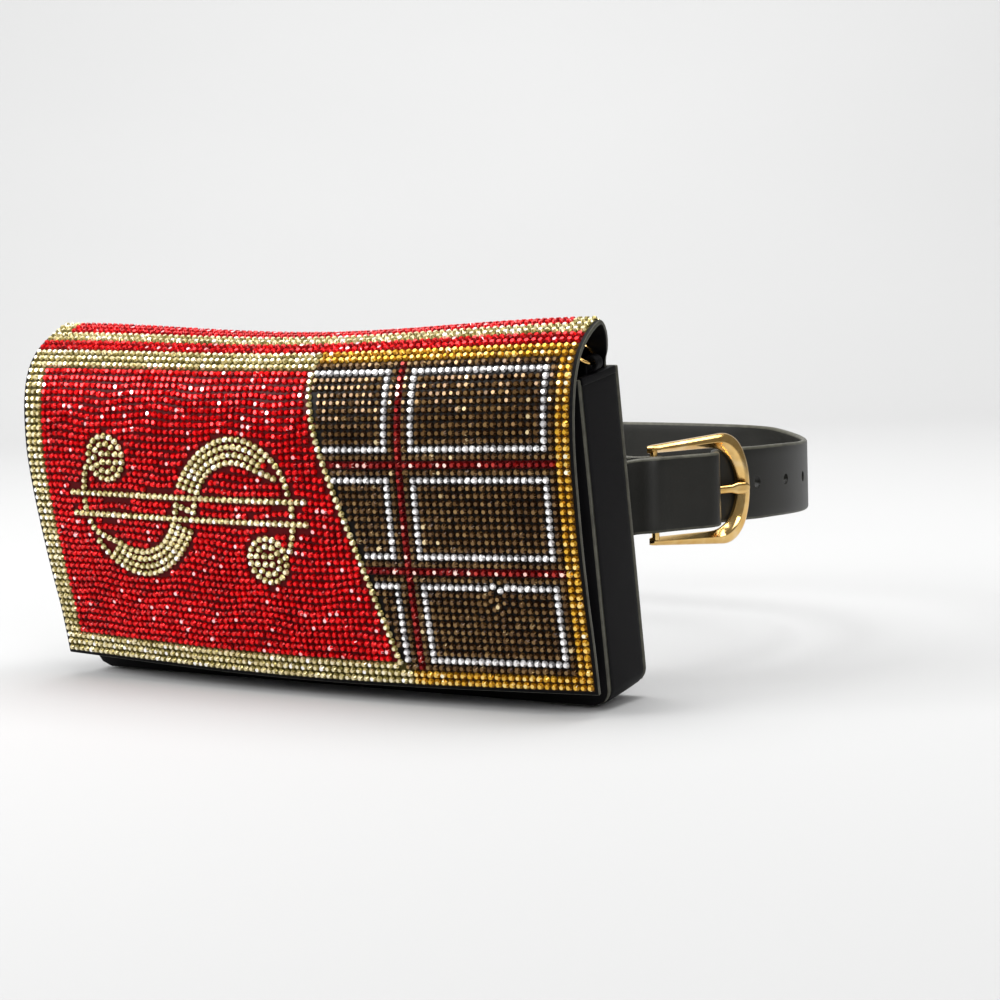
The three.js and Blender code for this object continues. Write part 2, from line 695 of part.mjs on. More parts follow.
const buckleSpot = waistPlace(-BUCKLE_ANGLE, 1);
const buckleHeading = new THREE.Vector2(-buckleSpot.normal.y, buckleSpot.normal.x);
const hipRadius = WAIST_HALF_DEPTH;
const layer = STRAP_THICK + STRAP_CLEAR;
const innerOut = half(STRAP_THICK);
const tailOut = innerOut + layer;

// Level of the waist surface below the buckle's own flat line, and of each part of the buckle above that line
const waistDrop = (t) => -t * t / (2 * hipRadius);
const barAt = FRAME_RIGHT - half(FRAME_BAR);
const pivotAt = FRAME_RIGHT - FRAME_LENGTH + 2 * PIVOT_RADIUS;
const framePlane = waistDrop(barAt) + layer + half(FRAME_THICK);
const eyeRadius = PIVOT_RADIUS + STRAP_CLEAR + EYE_PLY;
const overPivot = framePlane + eyeRadius + STRAP_CLEAR + half(STRAP_THICK);
const prongRest = framePlane + half(FRAME_THICK) + STRAP_CLEAR + half(PRONG_THICK);

function buckleStation(t, n, lift = STRAP_LIFT) {
  const centre = buckleSpot.point.clone();
  centre.addScaledVector(buckleHeading, t).addScaledVector(buckleSpot.normal, n);
  return { centre, lift };
}

// The strap's centre line through the buckle, from the tail over the pivot bar to the layer under the bowed bar
function throughBuckle() {
  const overProng = prongRest + half(PRONG_THICK) + STRAP_CLEAR + half(STRAP_THICK);
  const underBar = waistDrop(barAt) + innerOut;
  return [
    buckleStation(pivotAt - 8, (waistDrop(pivotAt - 8) + tailOut + overPivot) / 2, STRAP_LIFT - 0.4),
    buckleStation(pivotAt - 3, overPivot),
    buckleStation(pivotAt + 3, overPivot),
    buckleStation(half(pivotAt + STRAP_DIP), half(overPivot + overProng)),
    buckleStation(STRAP_DIP - 3, overProng),
    buckleStation(STRAP_DIP, overProng - 1),
    buckleStation(STRAP_DIP + half(DIP_RUN), half(overProng + underBar)),
    buckleStation(STRAP_DIP + DIP_RUN, underBar + 0.3),
    buckleStation(STRAP_DIP + DIP_RUN + 3, underBar),
    buckleStation(barAt + half(FRAME_BAR), waistDrop(barAt + half(FRAME_BAR)) + innerOut),
  ];
}

function strapStations() {
  const stations = [];
  const left = -BUCKLE_ANGLE - 19;
  const right = -BUCKLE_ANGLE + 19;
  const step = 8;
  stations.push({ centre: new THREE.Vector2(TAIL_TIP, -WAIST_HALF_DEPTH - tailOut), lift: -TAIL_DROOP, taper: 0.7 });
  stations.push({ centre: new THREE.Vector2(TAIL_TIP + 5, -WAIST_HALF_DEPTH - tailOut), lift: -TAIL_DROOP });
  for (let angle = -90; angle < left - 4; angle += step) {
    stations.push(waistStation(angle, 1, tailOut, -TAIL_DROOP));
  }
  stations.push(...throughBuckle());
  for (let angle = right; angle < 90; angle += step) stations.push(waistStation(angle, 1, innerOut, hipLift(angle)));
  for (let angle = 90; angle > -90; angle -= step) {
    const risen = 1 - THREE.MathUtils.smoothstep(angle, -90, -30);
    stations.push(waistStation(angle, -1, innerOut, INNER_LIFT * risen));
  }
  stations.push(waistStation(-90, -1, innerOut, INNER_LIFT));
  for (let angle = -90; angle < left - 4; angle += step) {
    stations.push(waistStation(angle, 1, innerOut, INNER_LIFT));
  }
  stations.push(buckleStation(pivotAt - 10, waistDrop(pivotAt - 10) + innerOut, half(INNER_LIFT + STRAP_LIFT)));
  stations.push(buckleStation(pivotAt - eyeRadius, framePlane - eyeRadius + half(EYE_PLY) + 0.4));
  stations.push(buckleStation(pivotAt, framePlane - eyeRadius + half(EYE_PLY)));
  return stations;
}

function strapBoard() {
  const stations = strapStations();
  const outer = [];
  const inner = [];
  stations.forEach((station, index) => {
    const before = stations[Math.max(0, index - 1)].centre;
    const after = stations[Math.min(stations.length - 1, index + 1)].centre;
    const heading = after.clone().sub(before).normalize();
    const normal = new THREE.Vector2(heading.y, -heading.x);
    const reach = half(STRAP_WIDTH) * (station.taper ?? 1);
    const cornersAt = (side) => [-1, 1].map((up) => new THREE.Vector3(
      station.centre.x + normal.x * side * half(STRAP_THICK),
      station.centre.y + normal.y * side * half(STRAP_THICK),
      station.lift + up * reach,
    ));
    outer.push(cornersAt(1).reverse());
    inner.push(cornersAt(-1).reverse());
  });
  return boardBetween(outer, inner);
}

// Cutter across the strap at a place, along its normal
function acrossStrap(radius, centre, normal, length, z) {
  const rod = new THREE.CylinderGeometry(radius, radius, length, 10);
  rod.applyQuaternion(new THREE.Quaternion().setFromUnitVectors(
    new THREE.Vector3(0, 1, 0),
    new THREE.Vector3(normal.x, normal.y, 0),
  ));
  rod.translate(centre.x, centre.y, z);
  return solidOf(rod);
}

// The buckle's own axes: x along the strap towards the hip, y out from the waist, z down. It is alike above and below.
const buckleBasis = new THREE.Matrix4().makeBasis(
  new THREE.Vector3(buckleHeading.x, buckleHeading.y, 0),
  new THREE.Vector3(buckleSpot.normal.x, buckleSpot.normal.y, 0),
  new THREE.Vector3(0, 0, -1),
).setPosition(buckleSpot.point.x, buckleSpot.point.y, BUCKLE_LIFT);

const toBuckle = (geometry) => geometry.applyMatrix4(buckleBasis);

function uprightRod(radius, length, t, n, down = 0) {
  const rod = new THREE.CylinderGeometry(radius, radius, length, 12);
  rod.rotateX(Math.PI / 2);
  rod.translate(t, n, down);
  return rod;
}

function strap() {
  let body = solidOf(strapBoard());
  const eye = solidOf(toBuckle(uprightRod(eyeRadius, STRAP_WIDTH, pivotAt, framePlane, BUCKLE_LIFT - STRAP_LIFT)));
  body = body.add(eye);
  body = body.subtract(solidOf(toBuckle(uprightRod(PIVOT_RADIUS + STRAP_CLEAR, STRAP_WIDTH + 4, pivotAt, framePlane))));
  const notchReach = eyeRadius + half(STRAP_CLEAR);
  const notch = new THREE.BoxGeometry(2 * notchReach, 2 * notchReach, PRONG_WIDTH + 2 * STRAP_CLEAR);
  notch.translate(pivotAt, framePlane, 0);
  const prongSlot = prongBar(PRONG_WIDTH + 2 * STRAP_CLEAR, PRONG_THICK + 2 * STRAP_CLEAR, 0);
  body = body.subtract(solidOf(toBuckle(prongSlot)));
  for (let k = 1; k <= HOLE_COUNT; k += 1) {
    const angle = -BUCKLE_ANGLE + (PRONG_HOLE_AT + k * HOLE_PITCH) / hipRadius * (180 / Math.PI);
    const { point, normal } = waistPlace(angle, 1);
    body = body.subtract(acrossStrap(HOLE_RADIUS, point, normal, 4 * STRAP_THICK, hipLift(angle)));
  }
  return body.subtract(solidOf(toBuckle(notch)));
}

// Straight prong from the pivot bar to its rest on the bowed bar, less what it ends short of the bar's middle
function prongBar(width, thick, short) {
  const start = new THREE.Vector2(pivotAt, framePlane + PIVOT_RADIUS);
  const end = new THREE.Vector2(barAt, prongRest);
  const length = start.distanceTo(end) - short;
  const bar = new THREE.BoxGeometry(length, thick, width);
  bar.translate(half(length), 0, 0);
  bar.rotateZ(Math.atan2(end.y - start.y, end.x - start.x));
  bar.translate(start.x, start.y, 0);
  return bar;
}

function prong() {
  const collar = uprightRod(PIVOT_RADIUS + STRAP_CLEAR + EYE_PLY, PRONG_WIDTH, pivotAt, framePlane);
  const bore = uprightRod(PIVOT_RADIUS + STRAP_CLEAR, PRONG_WIDTH + 2, pivotAt, framePlane);
  const bar = solidOf(prongBar(PRONG_WIDTH, PRONG_THICK, PRONG_SHORT));
  const body = solidOf(collar).add(bar).subtract(solidOf(bore));
  return geometryOf(body);
}

// Buckle frame: two arms that widen from the pivot bar to the corners of a bowed bar. Each side of an outline is
// a straight arm and one curve round the corner to the middle of the bowed bar.
function frameOutline(left, right, narrow, tall) {
  const shape = new THREE.Shape();
  shape.moveTo(left, -narrow);
  shape.lineTo(right - FRAME_BEND, -tall);
  shape.bezierCurveTo(right - FRAME_BEND / 3, -tall, right, -FRAME_ROUND * tall, right, 0);
  shape.bezierCurveTo(right, FRAME_ROUND * tall, right - FRAME_BEND / 3, tall, right - FRAME_BEND, tall);
  shape.lineTo(left, narrow);
  return shape;
}

function frame() {
  const left = FRAME_RIGHT - FRAME_LENGTH;
  const narrow = half(FRAME_NARROW_END);
  const tall = half(FRAME_HEIGHT);
  const curves = 6;
  const bevel = 0.6;
  const plate = new THREE.ExtrudeGeometry(frameOutline(left, FRAME_RIGHT, narrow, tall), {
    depth: FRAME_THICK - 2 * bevel,
    bevelThickness: bevel,
    bevelSize: bevel,
    bevelOffset: -bevel,
    bevelSegments: 1,
    curveSegments: curves,
  });
  plate.rotateX(Math.PI / 2);
  plate.translate(0, framePlane + half(FRAME_THICK) - bevel, 0);
  const right = FRAME_RIGHT - FRAME_BAR;
  const hole = frameOutline(left + 2 * FRAME_ARM, right, narrow - FRAME_ARM, tall - FRAME_ARM_AT_CORNER);
  const opening = new THREE.ExtrudeGeometry(hole, { depth: 3 * FRAME_THICK, bevelEnabled: false, curveSegments: curves });
  opening.rotateX(Math.PI / 2);
  opening.translate(0, framePlane + 1.5 * FRAME_THICK, 0);
  const slot = new THREE.BoxGeometry(6 * FRAME_ARM, 3 * FRAME_THICK, FRAME_NARROW_END - 2 * FRAME_ARM);
  slot.translate(left, framePlane, 0);
  const bar = solidOf(uprightRod(PIVOT_RADIUS, FRAME_NARROW_END - FRAME_ARM, pivotAt, framePlane));
  const body = solidOf(plate).subtract(solidOf(opening).add(solidOf(slot))).add(bar);
  return geometryOf(body);
}

// Assembly

const finish = {
  leather: { color: 0x1b1a1e, roughness: 0.62, metalness: 0 },
  strap: { color: 0x26251f, roughness: 0.55, metalness: 0 },
  gold: { color: 0xd9a84f, roughness: 0.18, metalness: 1 },
  red: { color: 0xc4101c, roughness: 0.2, metalness: 0 },
  pale: { color: 0xd8cf8e, roughness: 0.2, metalness: 0 },
  amber: { color: 0xd79a1c, roughness: 0.2, metalness: 0 },
  brown: { color: 0x4a3320, roughness: 0.25, metalness: 0 },
  clear: { color: 0xe4e2e6, roughness: 0.15, metalness: 0 },
};

function piece(name, form, look) {
  const geometry = form.isBufferGeometry ? form : geometryOf(form);
  const mesh = new THREE.Mesh(geometry, new THREE.MeshStandardMaterial(finish[look]));
  mesh.name = name;
  return mesh;
}

const bag = new THREE.Group();
bag.position.copy(bagPivot);
bag.rotation.x = lean;
const bagPieces = new THREE.Group();
bagPieces.position.z = -bagMiddle;
bag.add(bagPieces);

bagPieces.add(
  piece('back_panel', plateFrom(pouchShape(0), 0, WALL), 'leather'),
  piece('gusset', gusset(), 'leather'),
  piece('front_panel', frontPanel(), 'leather'),
  piece('flap', flapBoard(), 'leather'),
  piece('closure_snap', closureSnap(), 'gold'),
  piece('pale_border', paleBorder(), 'pale'),
  piece('red_field', redField(), 'red'),
  piece('currency_figure', figure(), 'pale'),
  piece('wrapper_edge', wrapperEdge(), 'pale'),
  piece('amber_border', amberBorder(), 'amber'),
  piece('tablet_grooves', grooves(), 'red'),
);
for (const square of SQUARES) {
  bagPieces.add(
    piece(`${square.name}_right_square`, rightSquare(square), 'brown'),
    piece(`${square.name}_left_square`, leftSquare(square), 'brown'),
    piece(`${square.name}_right_frame`, rightFrame(square), 'clear'),
    piece(`${square.name}_left_frame`, leftFrame(square), 'clear'),
  );
}

// Bands over the curl, from the front's top row backwards
const TOP_END = 3;
const topBand = (first, last, from = 0, to = FLAP_COLUMNS) => (
  stoneLayer(first - SEAM, last + SEAM, baseLow, baseHigh, from + SEAM, to - SEAM)
);
bagPieces.add(
  piece('top_red_band', topBand(0, -2), 'red'),
  piece('top_pale_band', topBand(-2, -4), 'pale'),
  piece('top_rear_field', topBand(-4, -TOP_ROWS, TOP_END, FLAP_COLUMNS - TOP_END), 'red'),
  piece('top_left_end', topBand(-4, -TOP_ROWS, 0, TOP_END), 'pale'),
  piece('top_right_end', topBand(-4, -TOP_ROWS, FLAP_COLUMNS - TOP_END, FLAP_COLUMNS), 'pale'),
  piece('side_ring', sideRing(), 'gold'),
  piece('ring_tab', ringTab(), 'leather'),
);

for (const [name, side] of [['left', -1], ['right', 1]]) {
  const loop = piece(`${name}_belt_loop`, beltLoop(), 'leather');
  loop.position.x = side * LOOP_OFFSET;
  bagPieces.add(loop);
}

const buckle = new THREE.Group();
buckle.applyMatrix4(buckleBasis);
buckle.add(piece('buckle_frame', frame(), 'gold'), piece('buckle_prong', prong(), 'gold'));

const model = new THREE.Group();
model.add(bag, piece('strap', strap(), 'strap'), buckle);

export default model;
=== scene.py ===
import math

import bmesh
import bpy
import numpy as np
from mathutils import Matrix, Vector


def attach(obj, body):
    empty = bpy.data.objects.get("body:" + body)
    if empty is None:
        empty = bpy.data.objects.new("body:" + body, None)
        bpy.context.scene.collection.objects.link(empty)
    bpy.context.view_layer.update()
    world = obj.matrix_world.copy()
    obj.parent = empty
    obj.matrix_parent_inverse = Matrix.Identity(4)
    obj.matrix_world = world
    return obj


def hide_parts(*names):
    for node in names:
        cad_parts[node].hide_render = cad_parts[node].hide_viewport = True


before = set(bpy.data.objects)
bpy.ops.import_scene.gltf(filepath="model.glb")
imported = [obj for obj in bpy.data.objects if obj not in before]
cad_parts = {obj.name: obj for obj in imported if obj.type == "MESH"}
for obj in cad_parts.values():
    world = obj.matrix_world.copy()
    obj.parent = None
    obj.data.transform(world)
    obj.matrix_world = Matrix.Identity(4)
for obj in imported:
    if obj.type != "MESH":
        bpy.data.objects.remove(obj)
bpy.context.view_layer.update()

# View: the photograph's angle, from the front and a little to the right of the worn bag, at the strap's
# height. A long lens, so the bag's lines hardly converge. Colours are shown as they are, with no film curve.
VIEW_DISTANCE = 0.942
azimuth, elevation, roll = (math.radians(angle) for angle in (31.9, 5.47, -1.81))
facing_us = Vector((math.sin(azimuth), -math.cos(azimuth), 0))
back = facing_us * math.cos(elevation) + Vector((0, 0, math.sin(elevation)))
level = Vector((math.cos(azimuth), math.sin(azimuth), 0))
rise = back.cross(level)
across = level * math.cos(roll) + rise * math.sin(roll)
upright = rise * math.cos(roll) - level * math.sin(roll)
camera = bpy.data.objects.new("view", bpy.data.cameras.new("view"))
bpy.context.scene.collection.objects.link(camera)
camera.matrix_world = Matrix.Translation(back * VIEW_DISTANCE) @ Matrix((across, upright, back)).transposed().to_4x4()
camera.data.lens = 90.07
camera.data.sensor_width = 36
camera.data.clip_start = 0.01
camera.data.shift_x = -0.002
camera.data.shift_y = -0.026
bpy.context.scene.camera = camera
bpy.context.scene.view_settings.view_transform = "Standard"


# Studio: a pale painted table that sweeps up into its own backdrop, soft boxes to the left, to the right
# and overhead, a wide one on the backdrop, and a dim room. It keeps black leather black and glints crisp.
def paint(hex_code):
    """Linear colour of an sRGB hex value."""
    parts = [int(hex_code[i:i + 2], 16) / 255 for i in (1, 3, 5)]
    return [p / 12.92 if p <= 0.04045 else ((p + 0.055) / 1.055) ** 2.4 for p in parts] + [1.0]


def node(tree, kind, inputs={}, stops=(), into=None, **settings):
    """Adds a shader node with its settings. An input is a value or another node's output; stops are the
    places and hex colours of a colour ramp; the first output goes into a socket, if one is given."""
    made = tree.nodes.new("ShaderNode" + kind)
    for key, value in settings.items():
        setattr(made, key, value)
    for index, (place, hex_code) in enumerate(stops):
        band = made.color_ramp.elements
        element = band[index] if index < 2 else band.new(place)
        element.position, element.color = place, paint(hex_code)
    for key, value in inputs.items():
        if isinstance(value, bpy.types.NodeSocket):
            tree.links.new(value, made.inputs[key])
        else:
            made.inputs[key].default_value = value
    if into:
        tree.links.new(made.outputs[0], into)
    return made


def finish_of(name, inputs):
    """New material with those inputs on its shader; returns it with its tree and shader."""
    made = bpy.data.materials.new(name)
    made.use_nodes = True
    shader = made.node_tree.nodes["Principled BSDF"]
    for key, value in inputs.items():
        shader.inputs[key].default_value = value
    return made, made.node_tree, shader


def mesh_object(name, points, faces, materials, smooth=True):
    """New object of a mesh in metres, in the bag's shared frame."""
    mesh = bpy.data.meshes.new(name)
    mesh.from_pydata(np.asarray(points, float).tolist(), [], [tuple(int(i) for i in f) for f in faces])
    for finish in materials:
        mesh.materials.append(finish)
    if smooth:
        mesh.polygons.foreach_set("use_smooth", [True] * len(mesh.polygons))
    mesh.update()
    piece = bpy.data.objects.new(name, mesh)
    bpy.context.scene.collection.objects.link(piece)
    return piece


TABLE_HEIGHT = -0.0626
SWEEP_FRONT, SWEEP_START, SWEEP_RADIUS, SWEEP_TOP, SWEEP_HALF = -3.0, 1.0, 0.9, 3.0, 3.2
table_paint, tree, shader = finish_of("matt_painted_table", {"Roughness": 0.8, "Specular IOR Level": 0.1})
mottle = node(tree, "TexNoise", {"Scale": 6.0, "Detail": 3.0})
node(tree, "ValToRGB", {"Fac": mottle.outputs["Fac"]}, [(0.3, "#a2a2a2"), (0.7, "#a6a6a6")],
     shader.inputs["Base Color"])
away = -facing_us
sweep = [(SWEEP_FRONT, 0)]
sweep += [(SWEEP_START + SWEEP_RADIUS * math.sin(a), SWEEP_RADIUS * (1 - math.cos(a)))
          for a in np.linspace(0, math.pi / 2, 32)]
sweep.append((SWEEP_START + SWEEP_RADIUS, SWEEP_TOP))
floor = mesh_object("table_top", [away * far + level * side + Vector((0, 0, TABLE_HEIGHT + high))
                                  for far, high in sweep for side in (-SWEEP_HALF, SWEEP_HALF)],
                    [(2 * k, 2 * k + 1, 2 * k + 3, 2 * k + 2) for k in range(len(sweep) - 1)], [table_paint])

room = bpy.data.worlds.new("dim_room")
room.use_nodes = True
room.node_tree.nodes["Background"].inputs["Color"].default_value = paint("#eeeeee")
room.node_tree.nodes["Background"].inputs["Strength"].default_value = 0.25
bpy.context.scene.world = room

bag_middle = Vector((0, -0.1, 0))
for name, place, target, size, power in [
    ("left_soft_box", (-0.9, -1.2, 0.75), bag_middle, 0.8, 26),
    ("right_soft_box", (1.1, -0.9, 0.55), bag_middle, 0.7, 10),
    ("overhead_soft_box", (0.1, -0.3, 1.4), bag_middle, 0.9, 16),
    ("backdrop_soft_box", away * 0.5 + Vector((0, 0, 1.7)), away * 2.0 + Vector((0, 0, 0.25)), 2.2, 76),
]:
    lamp = bpy.data.lights.new(name, "AREA")
    lamp.size = size
    lamp.energy = power
    light = bpy.data.objects.new(name, lamp)
    light.location = place
    light.rotation_euler = (target - Vector(place)).to_track_quat("-Z", "Y").to_euler()
    bpy.context.scene.collection.objects.link(light)

# Pouch: a flat box of black coated leather on board. One gusset strip runs down the left end, round two
# corners, along the foot and up the right end. The filled front panel swells; the back panel stays flat.
# All of the bag is drawn upright, in millimetres, and then leaned with its top forward against the waist.
FLAP_WIDTH = 220.0
BODY_HALF = 106.5
BODY_DEPTH = 26.0
BODY_FOOT = -8.0
MOUTH = 98.5
WALL = 1.8
CORNER = 6.0
SEAM_GAP = 0.3
LEAN = math.radians(7.8)
LEAN_ABOUT, LEANED_DEPTH, LEANED_HEIGHT = 55.75, -93.2, 5.0


def leaned(points):
    """Points of the upright bag in mm, to metres in the shared frame."""
    p = np.asarray(points, float)
    y, z = p[..., 1], p[..., 2] - LEAN_ABOUT
    return np.stack([p[..., 0], LEANED_DEPTH + y * math.cos(LEAN) - z * math.sin(LEAN),
                     LEANED_HEIGHT + y * math.sin(LEAN) + z * math.cos(LEAN)], -1) / 1000


# Coated leather: split leather with a thin pressed polyurethane coat. It gives a deep black, a fine pebble
# of about 0.7 mm, and a soft sheen rather than a shine.
bag_leather, tree, shader = finish_of("coated_leather_black", {
    "Roughness": 0.55, "IOR": 1.48, "Specular IOR Level": 0.08})
space = node(tree, "TexCoord")
grain = node(tree, "TexVoronoi", {"Vector": space.outputs["Object"], "Scale": 1 / 0.0007},
             feature="DISTANCE_TO_EDGE")
cloud = node(tree, "TexNoise", {"Vector": space.outputs["Object"], "Scale": 1 / 0.018, "Detail": 5.0})
pits = node(tree, "TexNoise", {"Vector": space.outputs["Object"], "Scale": 1 / 0.0004, "Detail": 2.0})
node(tree, "ValToRGB", {"Fac": cloud.outputs["Fac"]}, [(0.3, "#060607"), (0.7, "#0b0a0c")],
     shader.inputs["Base Color"])
node(tree, "MapRange", {"Value": cloud.outputs["Fac"], "To Min": 0.46, "To Max": 0.62},
     into=shader.inputs["Roughness"])
pebble = node(tree, "Bump", {"Height": grain.outputs["Distance"], "Strength": 0.35, "Distance": 0.00012})
node(tree, "Bump", {"Height": pits.outputs["Fac"], "Strength": 0.2, "Distance": 0.00006,
                    "Normal": pebble.outputs["Normal"]}, into=shader.inputs["Normal"])

# Edge paint: a flexible acrylic brushed on the cut edges of board and leather. It dries olive grey and half
# matt, with faint ridges along the brush.
edge_paint, tree, shader = finish_of("acrylic_edge_paint", {
    "Roughness": 0.45, "IOR": 1.49, "Specular IOR Level": 0.25})
space = node(tree, "TexCoord")
brushed = node(tree, "TexNoise", {"Vector": space.outputs["Object"], "Scale": 1 / 0.003, "Detail": 4.0})
node(tree, "ValToRGB", {"Fac": brushed.outputs["Fac"]}, [(0.3, "#33322b"), (0.7, "#4a493f")],
     shader.inputs["Base Color"])
node(tree, "Bump", {"Height": brushed.outputs["Fac"], "Strength": 0.4, "Distance": 0.0001},
     into=shader.inputs["Normal"])


def board(name, outer, inner, materials, bevel=0.35):
    """Closed board between two grids of points in mm, already in place; its rim takes the second material."""
    outer, inner = np.asarray(outer, float), np.asarray(inner, float)
    rows, columns = outer.shape[:2]
    top = np.arange(rows * columns).reshape(rows, columns)
    low = top + rows * columns
    faces = []

    def quads(a, b, c, d):
        faces.extend(np.stack([a, b, c, d], -1).reshape(-1, 4))

    quads(top[:-1, :-1], top[:-1, 1:], top[1:, 1:], top[1:, :-1])
    quads(low[:-1, :-1], low[1:, :-1], low[1:, 1:], low[:-1, 1:])
    rim = len(faces)
    quads(top[:-1, 0], top[1:, 0], low[1:, 0], low[:-1, 0])
    quads(top[1:, -1], top[:-1, -1], low[:-1, -1], low[1:, -1])
    quads(top[0, 1:], top[0, :-1], low[0, :-1], low[0, 1:])
    quads(top[-1, :-1], top[-1, 1:], low[-1, 1:], low[-1, :-1])
    piece = mesh_object(name, np.concatenate([outer.reshape(-1, 3), inner.reshape(-1, 3)]), faces, materials)
    if len(materials) > 1:
        for polygon in piece.data.polygons[rim:]:
            polygon.material_index = 1
    return softened(piece, bevel)


def softened(piece, width):
    """Rounds the piece's sharp edges by a width in mm, and keeps the result as its mesh."""
    rounding = piece.modifiers.new("rounding", "BEVEL")
    rounding.width = width / 1000
    rounding.segments = 3
    rounding.limit_method = "ANGLE"
    rounding.angle_limit = math.radians(40)
    return made_real(piece)


def made_real(piece):
    """Applies the piece's modifiers."""
    seen = piece.evaluated_get(bpy.context.evaluated_depsgraph_get())
    result = bpy.data.meshes.new_from_object(seen)
    old = piece.data
    piece.modifiers.clear()
    piece.data = result
    bpy.data.meshes.remove(old)
    return piece


def pouch_path(inset):
    """Line of the gusset in x and z, from the left end of the mouth round the foot to the right end."""
    side, foot, radius = BODY_HALF - inset, BODY_FOOT + inset, max(CORNER - inset, 0.5)
    left = [(-side, z) for z in np.linspace(MOUTH, foot + radius, 24)]
    turn = [(-side + radius - radius * math.cos(a), foot + radius - radius * math.sin(a))
            for a in np.linspace(0, math.pi / 2, 10)[1:]]
    along = [(x, foot) for x in np.linspace(-side + radius, 0, 30)[1:]]
    first = left + turn + along
    return np.array(first + [(-x, z) for x, z in first[-2::-1]])


depths = np.linspace(WALL + SEAM_GAP, BODY_DEPTH - WALL - SEAM_GAP, 12)
swell = 0.25 * (1 - ((depths - BODY_DEPTH / 2) / (BODY_DEPTH / 2)) ** 2)


def gusset_face(inset, crown):
    rows = []
    for depth, proud in zip(depths, swell * crown):
        line = pouch_path(inset - proud)
        rows.append([(x, -depth, z) for x, z in line])
    return leaned(rows)


gusset = board("gusset_strip", gusset_face(0.0, 1.0), gusset_face(WALL, 0.0), [bag_leather, edge_paint], 0.4)
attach(gusset, "root")
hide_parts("gusset")


def panel_grid(face, inset=0.0):
    """Grid of a pouch panel, drawn in to the rounded foot corners. face gives its depth at x and z."""
    rows = []
    for z in np.linspace(BODY_FOOT, MOUTH, 60):
        drop = max(0.0, CORNER - (z - BODY_FOOT))
        half = BODY_HALF - inset - CORNER + math.sqrt(max(CORNER ** 2 - drop ** 2, 0.0))
        rows.append([(x, -face(x, z), z) for x in np.linspace(-half, half, 100)])
    return leaned(rows)


def front_depth(x, z):
    rise_share = (z - BODY_FOOT) / (MOUTH - BODY_FOOT)
    dome = (1 - abs(x / BODY_HALF) ** 3) * (1 - abs(2 * rise_share - 1) ** 3)
    return BODY_DEPTH + 12.0 * dome


front = board("front_panel_filled", panel_grid(front_depth),
              panel_grid(lambda x, z: front_depth(x, z) - WALL), [bag_leather, edge_paint], 0.5)
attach(front, "root")
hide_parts("front_panel")

back_panel = board("back_panel_flat", panel_grid(lambda x, z: WALL), panel_grid(lambda x, z: 0.0),
                   [bag_leather, edge_paint], 0.5)
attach(back_panel, "root")
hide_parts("back_panel")

# Turned rims: at the mouth the gusset's leather is folded over by 2 mm, glued and pressed. The fold is a
# little proud and catches more light than the flat leather.
RIM_FOOT, RIM_TOP = MOUTH - 2.2, MOUTH + 0.3
RIM_PROUD, RIM_INSIDE = 0.3, 0.2
for side, name in ((-1, "left_turned_rim"), (1, "right_turned_rim")):
    outer, inner = [], []
    for depth, proud in zip(depths, swell):
        far = side * (BODY_HALF + proud + RIM_PROUD)
        near = side * (BODY_HALF - WALL - RIM_INSIDE)
        outer.append([(far, -depth, RIM_FOOT), (far, -depth, RIM_TOP)])
        inner.append([(near, -depth, RIM_FOOT), (near, -depth, RIM_TOP)])
    if side < 0:
        outer, inner = outer[::-1], inner[::-1]
    rim = board(name, leaned(outer), leaned(inner), [bag_leather], 0.45)
    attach(rim, "root")

# Flap: one stiff board covered in the same leather. It hangs in front of the pouch, curls over the top with
# both ends open, and its foot is sewn inside the back panel. The cut edges are painted. Its surface is given
# by cross sections from the lower edge upwards: heights as shares of the flap's, and reach in front of the back
# panel at the left end, the middle and the right end as shares of the flap's reach; the last column narrows
# the foot.
STONE_PITCH = 2.5
FLAP_COLUMNS = 87
FLAP_ROWS = 45
TOP_ROWS = 8
STONE_MARGIN = 1.25
FLAP_HEIGHT = 115.5
FLAP_SAG = 4.0
FLAP_BOARD = 1.6
FLAP_REACH = 45.0
SEWN_FROM = 0.865
FLAP_SECTIONS = np.array([
    (0.0, 0.81, 0.95, 0.84, 1), (0.14, 0.84, 0.98, 0.85, 1),
    (0.27, 0.89, 1.0, 0.87, 1), (0.41, 0.935, 1.01, 0.88, 1),
    (0.54, 0.965, 1.01, 0.875, 1), (0.65, 0.975, 1.0, 0.865, 1), (0.74, 0.955, 0.975, 0.84, 1),
    (0.82, 0.915, 0.925, 0.795, 1), (0.89, 0.84, 0.85, 0.725, 1), (0.945, 0.71, 0.74, 0.62, 1),
    (0.985, 0.5, 0.55, 0.46, 1), (1.0, 0.33, 0.35, 0.31, 1), (0.965, 0.21, 0.2, 0.21, 0.992),
    (0.915, 0.13, 0.12, 0.14, 0.975), (0.865, 0.06, 0.06, 0.06, 0.945), (0.765, 0.05, 0.05, 0.05, 0.942),
])


def smooth_line(points, steps):
    """Points on the smooth curve through rows of points, a set number of steps between each pair."""
    p = np.concatenate([2 * points[:1] - points[1:2], points, 2 * points[-1:] - points[-2:-1]])
    t = np.linspace(0, 1, steps, endpoint=False).reshape((-1,) + (1,) * (p.ndim - 1))
    pieces = []
    for a, b, c, d in zip(p[:-3], p[1:-2], p[2:-1], p[3:]):
        pieces.append(b + 0.5 * t * (c - a) + t ** 2 * (a - 2.5 * b + 2 * c - 0.5 * d)
                      + t ** 3 * (1.5 * (b - c) + 0.5 * (d - a)))
    return np.concatenate(pieces + [points[-1:]])


